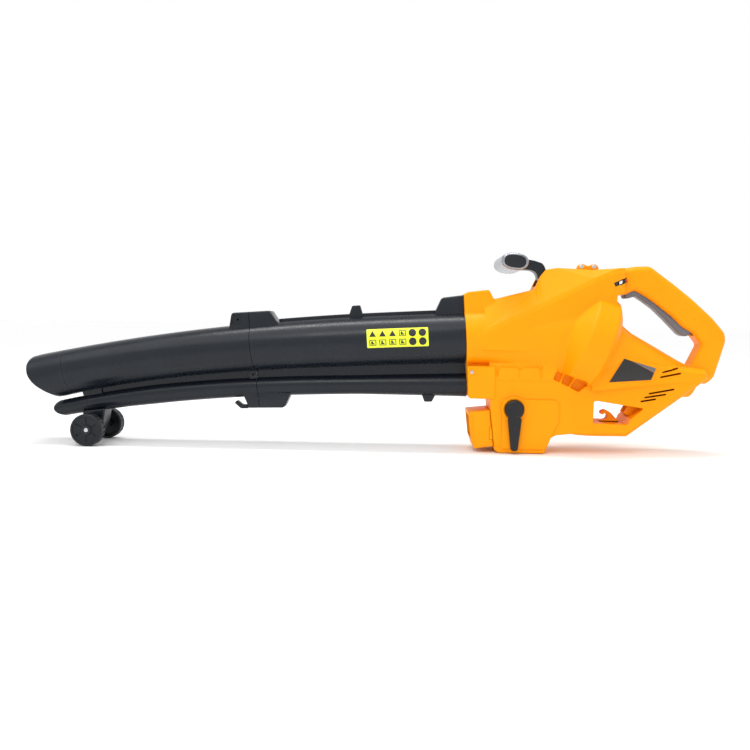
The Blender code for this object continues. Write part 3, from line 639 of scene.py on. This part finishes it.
BADGE = [(133, 121), (200, 126), (207, 145), (156, 160)]
BADGE_Y = 44.4
DIAL_WINDOW = [(137, 281.6), (157, 289.5), (158.6, 283), (139.5, 276.5)]
UPPER = [                    # X, Z of the bottom, crease and top, half widths at the crease and top
    (-70, 170, 195, 250, 47.3, 22), (12, 170, 235, 270.8, 46.3, 24), (15.8, 170, 236.5, 280, 46.3, 23),
    (21.5, 170, 239, 292.3, 46.3, 21.5), (30.4, 170, 244, 303.6, 46.3, 20), (49, 170, 253, 306.6, 46, 20),
    (105, 170, 281, 303.8, 45.3, 24), (135, 180, 294, 305.8, 39.8, 25), (143, 200, 296, 306.3, 36.8, 24),
    (144.5, 262, 297, 306.5, 35.8, 24), (157.7, 266, 299, 307.8, 29.8, 22),
]
DUCT = [                     # X, height of the axis, half width, half height
    (-103.4, 189, 46.3, 47.5), (-50, 190, 46.8, 50), (0, 190, 48.2, 56), (45, 188, 51.6, 64),
    (92, 186, 53.5, 68),
]
PORT_HOLE = [(-110, 60), (-46, 66), (-46, 17), (-110, 27)]
TRIGGER_SLOT = [(160.8, 286), (178, 286), (212, 268), (262, 227), (282, 210), (275, 190), (240, 200)]
TRIGGER_SLOT += [(160.8, 250)]
VENTS = [((219, 138), (247, 145)), ((216, 130), (250, 137)), ((200, 102.5), (241, 110.6)),
         ((193, 96), (228, 102)), ((187, 89.5), (212, 94))]
GRIP_RIM = 8.0               # rounding of the grip opening's edges
GRIP_DOTS = [(218, 275), (238, 260.6), (258.6, 243.3), (276, 227.3)]
FILLER = [(-60, 120), (-60, 149.8), (112, 149.8), (112, 120)]
SKIRT = [(106, 44.8, 106.5, 165), (200, 41, 116, 150), (283, 37.6, 125.5, 136)]
SCREW_HOLES = [               # X, Z, side, Y of the outer face, radius
    (-89, 133.8, -1, 45, 3.4), (-89, 133.8, 1, 45, 3.4), (-35, 109, 1, 38.9, 2.8), (40, 109, 1, 38.9, 2.8),
    (96, 41, 1, 36.9, 2.8), (284, 131, 1, 36.9, 2.8), (163, 40, 1, 36.9, 2.8),
]
POCKETS = [
    [(49, 137), (44, 124), (55, 119), (60, 134)], [(62, 133), (57, 118), (70, 112), (76, 128)],
    [(78, 127), (72, 111), (86, 104), (99, 116), (95, 122)],
]


def spline(rows, position):
    """Each column of rows at a position along their first column, on a smooth curve."""
    index = 1
    while index < len(rows) - 2 and position > rows[index][0]:
        index += 1
    p1, p2 = rows[index - 1], rows[index]
    p0, p3 = rows[max(index - 2, 0)], rows[min(index + 1, len(rows) - 1)]
    if position > p2[0]:
        p0, p1, p2, p3 = p1, p2, rows[-1], rows[-1]
    t = (position - p1[0]) / (p2[0] - p1[0])
    out = []
    for a, b, c, d in zip(p0[1:], p1[1:], p2[1:], p3[1:]):
        square, cube = 2 * a - 5 * b + 4 * c - d, 3 * b - a - 3 * c + d
        out.append(0.5 * (2 * b + (c - a) * t + square * t * t + cube * t ** 3))
    return out


def duct(less):
    rings = []
    for x in even(DUCT[0][0], DUCT[-1][0], 8):
        z, y, h = spline(DUCT, x)
        rings.append(oval(x, 0, z, y - less, h - less, 96, 2.2))
    return stack(rings)


def upper(less):
    rings = []
    for k, (x, low, crease, top, wide, narrow) in enumerate(UPPER):
        x += less if k == 0 else 0
        x -= less if k == len(UPPER) - 1 else 0
        w, n, h = wide - less, narrow - less, top - less
        fold = min(crease + 9, h - 0.8)
        side = [(x, w, low + less), (x, w, crease - less * 0.3), (x, w - 2, fold), (x, n, h)]
        rings.append(side + [(x, -y, z) for x, y, z in reversed(side)])
    return stack(rings)


def fan_drum(less):
    r = DRUM_RADIUS - less
    half = 36 - less
    profile = [(r - 28, -half + 2), (r - 3, -half + 22), (r - 0.8, -half + 23.8), (r, -half + 26.5)]
    profile += [(r, half - 13), (r - 1.5, half - 10), (r - 16, half)]
    return turned(profile, FAN_CENTRE, FAN_AXIS, 128)


def motor_cone(less):
    profile = [(62, 10), (54, 34), (46, 56), (43, 66), (35.5, 120), (27, 178), (20, 196)]
    end = profile[-1][1] - less
    return turned([(r - less, min(t, end)) for r, t in profile], FAN_CENTRE, FAN_AXIS, 96)


def grip_loop(less):
    outer = rounded(inset(HANDLE, less), 7, 4)
    rim = 10 if less == 0 else 6
    loop = prism(outer, -GRIP_HALF + less, GRIP_HALF - less, rim, 5)
    hole = prism(rounded(inset(HANDLE_HOLE, -less), 4, 3), -60, 60)
    return cut(loop, hole)


def grip_edges(more=0.0):
    """Flaring cutters that round the grip opening's two rims, or with more, that much larger."""
    cutters = []
    for side in (-1, 1):
        steps = []
        for k in range(6):
            turn = math.pi / 2 * k / 5
            deep = more + GRIP_RIM * (1 - math.sin(turn))
            steps.append((side * (GRIP_HALF - deep), more + GRIP_RIM * (1 - math.cos(turn))))
        levels = sorted(steps + [(side * (GRIP_HALF + 3), more + GRIP_RIM + 1)])
        rings = [[(x, y, z) for x, z in inset(rounded(HANDLE_HOLE, 4, 3), -grow)] for y, grow in levels]
        cutters.append(stack(rings))
    return cutters


def lower_frame(less):
    frame_solid = prism(inset(FRAME, less), -FRAME_HALF + less, FRAME_HALF - less, 6 - 0.8 * less)
    return cut(frame_solid, prism(inset(FRAME_HOLE, -less), -60, 60))


def ledges():
    """Stepped pads where the round duct meets the flat lower box, on both sides."""
    pads = []
    for start, end, top in ((-46, -11, 143), (-10, 24, 143), (26, 52, 155)):
        slope = [(start, 120), (start, top - 5), (start + 5, top), (end - 3, top), (end, top - 4), (end, 120)]
        pads.append(prism(slope, -40.5, 40.5, 2))
    return pads


def housing_solid(less):
    """The machine's body as one solid, or with less, the space inside its walls."""
    rim = 2.4 - 0.4 * less
    body = duct(less)
    union(body, prism(inset(COLLAR_TOP, less), -27 + less, 27 - less, rim, 2))
    union(body, prism(inset(COLLAR_LOW, less), -41.5 + less, 41.5 - less, rim, 2))
    union(body, prism(inset(LOWER, less), -HALF_WIDTH + less, HALF_WIDTH - less, rim, 2))
    union(body, prism(inset(FILLER, less), -36.4 + less, 36.4 - less))
    union(body, upper(less), fan_drum(less), motor_cone(less), lower_frame(less), grip_loop(less))
    return body


def slot_box(start, end, low, high, wide):
    a, b = Vector(start), Vector(end)
    run = (b - a).normalized()
    across = Vector((-run.y, run.x)) * wide / 2
    corners = [tuple(a + across), tuple(b + across), tuple(b - across), tuple(a - across)]
    return prism(rounded(corners, 1.2, 3), low, high)


def recess_pockets(grow):
    """The deep pocket under the fan drum, in three cells between two thin ribs."""
    deep = 29 - grow
    sides = ((-60, -deep), (deep, 60))
    return [prism(inset(cell, -grow), low, high) for cell in POCKETS for low, high in sides]


def skirt():
    """The wide shoulder that runs back from the drum along the lower frame."""
    return stack([[(x, -y, low), (x, y, low), (x, y, high), (x, -y, high)] for x, y, low, high in SKIRT])


def housing():
    body = housing_solid(0)
    union(body, skirt(), *ledges())
    union(body, prism(rounded(inset(BADGE, -2.5), 3), -BADGE_Y, -20, 2, 2))
    cut(body, *grip_edges())
    cut(body, collar_cut(0), *recess_pockets(0))
    moulded(body, VOXEL, 5)
    cavity = cut(housing_solid(WALL), collar_cut(WALL), *recess_pockets(2.4), *grip_edges(2.2))
    cut(body, cavity)
    cut(body, disc(40.5, -60, 8, (-90, 0, 189), (1, 0, 0), 96))
    cut(body, disc(17.5, -60, 8, (-90, 0, 109.3), (1, 0, 0), 48))
    cut(body, prism(PORT_HOLE, -33, 33), disc(5.3, -60, 0, (LEVER[0], 0, LEVER[1]), (0, 1, 0), 32))
    cut(body, prism(rounded([(4, 276), (4, 330), (43.5, 330), (43.5, 276)], 3), -16.8, 16.8))
    cut(body, disc(3.3, -20.4, 20.4, (HANDLE_PIVOT[0], 0, HANDLE_PIVOT[1]), (0, 1, 0), 24))
    cut(body, prism(TRIGGER_SLOT, -12.3, 12.3))
    for low, high in ((-60, -24), (24, 60)):
        cut(body, *[slot_box(a, b, low, high, 3.0) for a, b in VENTS])
    cut(body, prism([(160, 76), (178, 94), (204, 84), (196, 66), (172, 61)], -13, 13))
    dial_axis = Vector((-math.sin(DIAL_TILT), 0, math.cos(DIAL_TILT)))
    cut(body, disc(15, -4, 4, DIAL, dial_axis, 64), prism(inset(DIAL_WINDOW, -0.4), -60, -31))
    for x, z, side, y, radius in SCREW_HOLES:
        cut(body, disc(radius, -2.2, 12, (x, side * y, z), (0, side, 0), 32))
    for side in (-1, 1):
        for x, z in GRIP_DOTS:
            bump = [(0.01, 0.9), (1.6, 0.75), (3.0, 0.25), (3.6, -0.4), (3.7, -1.5)]
            union(body, turned(bump, (x, side * (GRIP_HALF - 0.1), z), (0, side, 0), 32))
    clam("housing", body, AMBER, "machine", 2.0)


def screws():
    """Recessed screw heads down the holes of the left and right shells."""
    for index, (x, z, side, y, radius) in enumerate(SCREW_HOLES):
        head = disc(radius - 0.5, -2.1, -0.9, (x, side * y, z), (0, side, 0), 32, 0.3)
        low, high = sorted((side * (y - 1.5), side * y))
        cut(head, block((x - 1.5, low, z - 0.35), (x + 1.5, high, z + 0.35)))
        piece(f"housing_screw_{index + 1}", head, STEEL, "machine", [])


# ---------------------------------------------------------------- housing fittings

def selector():
    lx, lz = LEVER
    face = -39.3
    outline = rounded([(-38, 91), (49, 89.5), (54.5, 84), (54.5, 54), (33, 8), (-38, 8)], 4)
    cover = prism(outline, face - 2, face, 0.7, 2)
    rim = [(21, 0.5), (21, 3.4), (20.4, 4.2), (19.6, 4.5), (17.4, 4.5), (16.6, 4.1), (16.4, 3.4), (16.4, 0.5)]
    ring = turned(rim, (lx, face, lz), (0, -1, 0), 96, closed=True)
    union(cover, ring)
    cut(cover, disc(5.3, -10, 10, (lx, face, lz), (0, 1, 0), 32))
    piece("lever_cover_panel", cover, AMBER, "machine", ["selector_cover"])
    profile = [(14.6, 2.5), (15.7, 3.6), (15.7, 9.4), (15.2, 11), (13.8, 12.3), (12.2, 12.9), (10.8, 12.9)]
    profile += [(10.2, 12.2), (0.01, 12.0)]
    lever = turned(profile, (lx, face, lz), (0, -1, 0), 96)
    arm = [(lx - 11, 60), (lx - 5.2, 8), (lx - 2, 5.6), (lx + 4, 5.6), (lx + 6.6, 8), (lx + 12, 60)]
    union(lever, prism(rounded(arm, 3), face - 12, face - 5.2, 2.0, 4))
    moulded(lever, 0.55, 3)
    piece("blow_vac_lever", lever, DARK, "selector", ["selector_lever"])
    shaft = disc(4.9, face - 2.1, 34, (lx, 0, lz), (0, 1, 0), 48, 0.5)
    piece("lever_shaft", shaft, STEEL, "selector", ["selector_shaft"])
    flap = disc(8, -32, 32, (lx, 0, lz), (0, 1, 0), 48, 0.5)
    blade = [(lx - 1.5, lz + 5), (lx + 1.5, lz + 5), (lx + 1.0, lz + 26.8), (lx - 1.0, lz + 26.8)]
    plate = prism(blade, -32, 32)
    cut(union(flap, plate), disc(5.2, -60, 60, (lx, 0, lz), (0, 1, 0), 48))
    piece("diverter_blade", flap, NYLON, "selector", ["diverter_flap"])


def bag_port():
    outline = [(-93, 67), (-57.6, 71), (-56.7, 62), (-50.5, 11), (-82, 6), (-88, 22.7)]
    port = prism(outline, -36.5, 36.5, 2.6, 3)
    for side in (-1, 1):
        low, high = sorted((side * 35.8, side * 40))
        cut(port, prism(inset([(-90, 63), (-84, 63.6), (-79, 11), (-82, 11), (-86, 23)], 0.8), low, high))
    cut(port, prism(PORT_HOLE, -33, 33))
    cut(port, prism([(-58, 44), (-50, 44), (-50, 22), (-58, 22)], -60, -30))
    piece("bag_spigot", bevelled(port, 0.5, 2, 50), AMBER, "machine", ["bag_port"], 30)
    latch = prism([(-57.4, 43.4), (-54.7, 43.4), (-52.4, 26), (-52.4, 22.6), (-57.4, 22.6)], -37.4, -33.4)
    piece("bag_latch_tab", bevelled(latch, 0.5), AMBER, "port_latch", ["bag_port_latch"])


def strap_bracket():
    ear = [(84, 305.4), (86.5, 312.5), (91, 314.9), (96, 314), (100, 311.5), (105, 311.5), (109, 314)]
    ear += [(113, 314.9), (118.5, 312), (121, 305.4)]
    plate = prism(rounded(ear, 3), -4.9, 4.9, 1.0, 3)
    for x in (91.6, 112.4):
        cut(plate, disc(2.6, -10, 10, (x, 0, 309.8), (0, 1, 0), 32))
    piece("strap_ear", plate, AMBER, "machine", ["strap_bracket"])
    for name, x in (("strap_rivet_front", 91.6), ("strap_rivet_rear", 112.4)):
        profile = [(2.2, -6.2), (3.2, -6.1), (3.9, -5.6), (3.9, -5.1), (2.2, -5.1), (2.2, 5.9)]
        rivet = turned(profile, (x, 0, 309.8), (0, 1, 0), 40)
        piece(name + "_head", rivet, STEEL, "machine", [name])


def badge():
    """A blank two-tone plate: black below, grey above the slanted line."""
    dark = [(133, 121), (200, 126), (204.2, 137.4), (167.4, 156.2), (156, 160)]
    for name, outline, finish in (("badge_dark_field", dark, PRINT),
                                  ("badge_grey_field", [(168.4, 156.2), (204.6, 138), (207, 145)], GREY)):
        nodes = ["badge"] if name == "badge_dark_field" else []
        plate = prism(outline, -BADGE_Y - 1, -BADGE_Y - 0.1, 0.25, 2)
        piece(name, plate, finish, "machine", nodes)


def speed_dial():
    axis = Vector((-math.sin(DIAL_TILT), 0, math.cos(DIAL_TILT)))

    def knurl(radius, along, turn):
        return -0.5 * (0.5 + 0.5 * math.cos(turn * 40)) if radius > 13 else 0.0

    profile = [(3, -3), (12.6, -3), (13.9, -2.2), (13.9, 2.2), (12.6, 3), (3, 3)]
    wheel_piece = turned(profile, DIAL, axis, 240, closed=True, wave=knurl)
    piece("speed_wheel", wheel_piece, DARK, "dial", ["speed_dial"])
    mark = turned([(14.0, -2.3), (14.06, -2.3), (14.06, 2.3), (14.0, 2.3)], DIAL, axis, 96, closed=True)
    common(mark, block((DIAL.x - 2.4, -40, 270), (DIAL.x + 2.4, -30, 300)))
    bezel = prism([(137, 281.6), (141.8, 283.5), (144, 278), (139.5, 276.5)], -38.6, -35.6, 0.5)
    piece("dial_bezel", bezel, DARK, "machine", [])
    piece("speed_wheel_mark", mark, WHITE, "dial", [])
    stripe = turned([(14.0, -2.3), (14.06, -2.3), (14.06, 2.3), (14.0, 2.3)], DIAL, axis, 96, closed=True)
    common(stripe, block((DIAL.x + 8, -40, 270), (DIAL.x + 13, -20, 300)))
    piece("speed_wheel_limit_mark", stripe, RED, "dial", [])


def cable_hook():
    hook = [(128, 52.3), (162, 51.5), (158, 56), (148, 67), (139, 72), (132, 70), (131, 65), (135, 63)]
    hook += [(138, 66), (143, 63), (141, 57)]
    solid = prism(rounded(hook, 1.6, 4), -6.9, 6.9, 1.2, 3)
    piece("cord_hook", solid, AMBER, "machine", ["cable_hook"])


def power_inlet():
    outline = [(169, 68), (181, 91), (199, 83), (192, 67), (175, 64)]
    body = prism(inset(outline, -1), -12.4, 12.4, 1.0, 2)
    across = Vector((-0.87, 0, -0.5)).normalized()
    cut(body, disc(8, -2, 14, (174.5, 0, 78), across, 64))
    piece("inlet_socket", body, AMBER, "machine", ["power_inlet"])
    well = disc(7.8, 9, 13.6, (174.5, 0, 78), -across, 64, 0.5)
    piece("inlet_well", well, DARK, "machine", [])


def trigger():
    outline = [(164, 257.5), (170, 258.5), (181, 262), (194, 254), (211, 242), (229, 225.5), (246, 208.5)]
    outline += [(255, 199.5), (262, 196.5), (270, 198), (275.5, 205), (256, 222), (212, 257), (196, 272)]
    outline += [(178, 272), (175, 282), (164, 282), (161.5, 275), (161.5, 262)]
    lever = prism(rounded(outline, 2.5, 3), -11.4, 11.4, 2.6, 4)
    cut(lever, disc(3.3, -30, 30, (168, 0, 276), (0, 1, 0), 32))
    piece("throttle_trigger", lever, GREY, "trigger_lever", ["trigger"], 30)


GRIP_CENTRE = Vector((-25.0, 0.0, 314.0))
GRIP_LEAN = math.radians(-7.0)


def grip_section(y, half_x, half_z, power, count=64):
    """A squarish ring of the cross grip at y, leaning with the handle."""
    ring = []
    c, s = math.cos(GRIP_LEAN), math.sin(GRIP_LEAN)
    for i in range(count):
        turn = math.tau * (i + 0.5) / count
        u = math.copysign(abs(math.cos(turn)) ** (2.0 / power), math.cos(turn)) * half_x
        v = math.copysign(abs(math.sin(turn)) ** (2.0 / power), math.sin(turn)) * half_z
        ring.append((GRIP_CENTRE.x + u * c - v * s, y, GRIP_CENTRE.z + u * s + v * c))
    return ring


def grip_bar(half_x, half_z, power, low, high, rim, count=96):
    turns = [math.pi / 2 * k / 6 for k in range(7)]
    stations = [(low + rim * (1 - math.cos(turn)), rim * (1 - math.sin(turn))) for turn in turns]
    stations += [(y, 0.0) for y in even(low + rim, high - rim, 6)[1:-1]]
    stations += [(high - rim * (1 - math.cos(turn)), rim * (1 - math.sin(turn))) for turn in reversed(turns)]
    return stack([grip_section(y, half_x - less, half_z - less, power, count) for y, less in stations])


def front_handle():
    px, pz = HANDLE_PIVOT
    grip = grip_bar(21.9, 13.4, 2.4, -55.9, 55.9, 4.2)
    arm_outline = [(-11, 303), (-1, 303.8), (8, 303), (14.5, 300), (18, 295), (19, 289), (22, 284)]
    arm_outline += [(28, 282.5), (33, 288), (33.5, 299), (30, 309), (26, 314.5), (12, 319), (-1.5, 321)]
    arm_outline += [(-11, 325)]
    keep_out = prism(inset(arm_outline, -0.4), -14.4, 14.4)
    cut(grip, keep_out)
    for side in (-1, 1):
        low, high = sorted((side * 53.5, side * 60))
        cut(grip, grip_bar(17.3, 10.3, 2.6, low, high, 0.4, 64))
    piece("cross_grip", grip, SILVER, "front_handle", ["handle_grip"], 30)
    for name, side in (("grip_inlay_left", -1), ("grip_inlay_right", 1)):
        low, high = sorted((side * 53.8, side * 56.6))
        inlay = grip_bar(16.9, 9.9, 2.6, low, high, 1.0, 64)
        piece(name + "_pad", inlay, DARK, "front_handle", [name], 40)
    arm = prism(rounded(arm_outline, 3.5, 4), -13.9, 13.9, 3.0, 4)
    cut(arm, disc(3.3, -30, 30, (px, 0, pz), (0, 1, 0), 32))
    piece("pivot_arm", arm, BLACK, "front_handle", ["handle_arm"], 30)


# ---------------------------------------------------------------- running gear

WHEEL = (-731.0, 27.0)
WHEEL_RADIUS = 27.0
WHEEL_IN, WHEEL_OUT = 34.0, 52.0


def wheel(side):
    """A hollow moulded wheel: treaded rim and dished face with radial grooves; its small hub cap is made in
    running_gear.
    """
    x, z = WHEEL
    r = WHEEL_RADIUS
    treads = 20

    def lugs(radius, along, turn):
        if radius < r - 0.6 or not WHEEL_IN + 1.2 < along < WHEEL_OUT - 1.4:
            return 0.0
        return -0.9 if math.cos(turn * treads) < -0.45 else 0.0

    outer = [(r - 1.4, WHEEL_IN), (r, WHEEL_IN + 1.1), (r, WHEEL_IN + 1.4), (r, WHEEL_OUT - 1.6)]
    outer += [(r - 0.2, WHEEL_OUT - 1.3), (r - 1.2, WHEEL_OUT - 0.3), (r - 2.6, WHEEL_OUT)]
    outer += [(r - 4.2, WHEEL_OUT - 0.3), (r - 5.0, WHEEL_OUT - 1.6)]
    outer += [(16, WHEEL_OUT - 3.4), (9, WHEEL_OUT - 3.0), (8.3, WHEEL_OUT - 1.0), (7.6, WHEEL_OUT - 0.3)]
    outer += [(4.35, WHEEL_OUT - 0.3), (4.35, WHEEL_IN + 1), (7.4, WHEEL_IN + 1), (7.4, WHEEL_OUT - 6)]
    outer += [(r - 5.4, WHEEL_OUT - 6), (r - 3.4, WHEEL_IN)]
    body = turned(outer, (x, 0, z), (0, side, 0), 240, closed=True, wave=lugs)
    slots = 6
    for k in range(slots):
        turn = math.tau * (k + 0.5) / slots
        radial = Vector((math.cos(turn), math.sin(turn)))
        across = Vector((-radial.y, radial.x))
        centre = Vector((x, z))
        corners = [centre + radial * 10.5 + across * 0.9, centre + radial * 19.6 + across * 1.7,
                   centre + radial * 19.6 - across * 1.7, centre + radial * 10.5 - across * 0.9]
        low, high = sorted((side * (WHEEL_OUT - 4.4), side * (WHEEL_OUT + 2)))
        cut(body, prism(rounded([tuple(c) for c in corners], 0.7, 3), low, high))
    name = "wheel_left" if side < 0 else "wheel_right"
    body_name = "left_wheel" if side < 0 else "right_wheel"
    piece("treaded_" + name, body, TYRE, body_name, [name], 30)


def running_gear():
    x, z = WHEEL
    post_outline = [(-752, 55), (-712, 60), (-716, 34), (-722, 19), (-740, 19), (-748, 34)]
    post = prism(rounded(post_outline, 3), -16.9, 16.9, 2.5, 3)
    union(post, disc(7.4, -28, 28, (x, 0, z), (0, 1, 0), 48, 0.8))
    for side in (-1, 1):
        low, high = sorted((side * 12.5, side * 30))
        cut(post, prism(rounded([(-745, 46), (-719, 49), (-721, 39), (-743, 39)], 3), low, high, 1.0, 2))
    moulded(post, 0.6, 2)
    cut(post, blow(-690, -790, -GAP))
    cut(post, disc(4.3, -60, 60, (x, 0, z), (0, 1, 0), 48))
    piece("axle_bracket", post, BLACK, "machine", ["wheel_bracket"])
    axle = disc(4, -48.1, 48.1, (x, 0, z), (0, 1, 0), 48, 0.6)
    piece("axle_rod", axle, STEEL, "machine", ["wheel_axle"])
    for side in (-1, 1):
        wheel(side)
        low, high = (WHEEL_OUT - 2.6, WHEEL_OUT - 0.2)
        profile = [(0.01, low), (3.7, low), (3.7, high - 0.9), (2.6, high - 0.1), (0.01, high)]
        cap = turned(profile, (x, 0, z), (0, side, 0), 32)
        name = "left" if side < 0 else "right"
        piece(f"hub_cap_{name}", cap, STEEL, f"{name}_wheel", [])


# ---------------------------------------------------------------- carried-over CAD parts

CARRIED = {
    "impeller": GREY, "impeller_nut": STEEL, "motor_shaft": STEEL, "front_bearing": STEEL, "rear_bearing": STEEL,
    "rotor": COPPER, "commutator": COPPER, "stator": IRON, "motor_plate": DARK, "rear_bearing_holder": DARK,
    "brush_holder_left": DARK, "brush_holder_right": DARK, "switch_module": DARK, "control_board": BOARD,
    "trigger_pin": STEEL, "trigger_spring": STEEL, "handle_pivot_pin": STEEL, "speed_dial_spindle": STEEL,
}


def carry_over():
    for name, finish in CARRIED.items():
        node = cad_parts[name]
        for slot in node.material_slots:
            slot.material = finish


# ---------------------------------------------------------------- studio

def studio():
    floor = bpy.data.meshes.new("floor")
    floor.from_pydata([(-30, -30, 0), (30, -30, 0), (30, 30, 0), (-30, 30, 0)], [], [(0, 1, 2, 3)])
    floor_obj = bpy.data.objects.new("floor", floor)
    bpy.context.collection.objects.link(floor_obj)
    floor_obj.location.z = cad_low[2] - 0.0005
    mat, tree, shader = node_maker("studio_floor")
    speck = tree.nodes.new("ShaderNodeTexNoise")
    speck.inputs["Scale"].default_value = 4.0
    ramp = tree.nodes.new("ShaderNodeMapRange")
    ramp.inputs["To Min"].default_value = 0.93
    ramp.inputs["To Max"].default_value = 0.95
    tree.links.new(speck.outputs["Fac"], ramp.inputs["Value"])
    tree.links.new(ramp.outputs["Result"], shader.inputs["Base Color"])
    shader.inputs["Roughness"].default_value = 0.9
    shader.inputs["Specular IOR Level"].default_value = 0.1
    floor.materials.append(mat)

    world = bpy.data.worlds.new("studio")
    bpy.context.scene.world = world
    world.use_nodes = True
    sky = world.node_tree
    way = sky.nodes.new("ShaderNodeTexCoord")
    parts = sky.nodes.new("ShaderNodeSeparateXYZ")
    sky.links.new(way.outputs["Generated"], parts.inputs["Vector"])
    height = sky.nodes.new("ShaderNodeMath")
    height.operation = "ABSOLUTE"
    sky.links.new(parts.outputs["Z"], height.inputs[0])
    glow = sky.nodes.new("ShaderNodeMapRange")
    glow.inputs["From Min"].default_value = 0.42
    glow.inputs["From Max"].default_value = 0.9
    glow.inputs["To Min"].default_value = 1.0
    glow.inputs["To Max"].default_value = 0.42
    sky.links.new(height.outputs["Value"], glow.inputs["Value"])
    sky.links.new(glow.outputs["Result"], sky.nodes["Background"].inputs["Strength"])
    sky.nodes["Background"].inputs["Color"].default_value = (1, 1, 1, 1)

    sun = bpy.data.lights.new("soft_sun", "SUN")
    sun.energy = 1.25
    sun.angle = math.radians(60)
    sun_object = bpy.data.objects.new("soft_sun", sun)
    bpy.context.collection.objects.link(sun_object)
    sun_object.rotation_euler = Vector((0.2, 0.35, -1.0)).to_track_quat("-Z", "Y").to_euler()

    lamps = [                # name, place and aim in metres, width, height, watts
        ("key", (-0.5, -1.5, 1.5), (-0.25, 0, 0.15), 0.6, 0.4, 4),
        ("overhead", (-0.3, 0.05, 1.8), (-0.3, 0, 0.2), 1.6, 0.2, 16),
    ]
    for name, spot, aim, wide, tall, power in lamps:
        data = bpy.data.lights.new(name, "AREA")
        data.shape = "RECTANGLE"
        data.size = wide
        data.size_y = tall
        data.energy = power
        lamp = bpy.data.objects.new(name, data)
        bpy.context.collection.objects.link(lamp)
        lamp.location = spot
        lamp.rotation_euler = (Vector(aim) - Vector(spot)).to_track_quat("-Z", "Y").to_euler()


def camera():
    data = bpy.data.cameras.new("photo_view")
    data.lens = 35.52
    data.sensor_width = 36.0
    view = bpy.data.objects.new("photo_view", data)
    bpy.context.collection.objects.link(view)
    turn = Matrix.Rotation(math.radians(2.32), 4, "Z") @ Matrix.Rotation(math.radians(90 - 4.25), 4, "X")
    turn = turn @ Matrix.Rotation(0.013, 4, "Z")
    view.matrix_world = Matrix.Translation((-0.1988, -1.258, 0.2171)) @ turn
    bpy.context.scene.camera = view


def main():
    rear_tube()
    front_tube()
    nozzle_tip()
    blow_tip()
    bag_hook()
    label()
    housing()
    screws()
    selector()
    bag_port()
    strap_bracket()
    badge()
    speed_dial()
    cable_hook()
    power_inlet()
    trigger()
    front_handle()
    running_gear()
    carry_over()
    studio()
    camera()


main()
bpy.context.scene.view_settings.view_transform = "Standard"
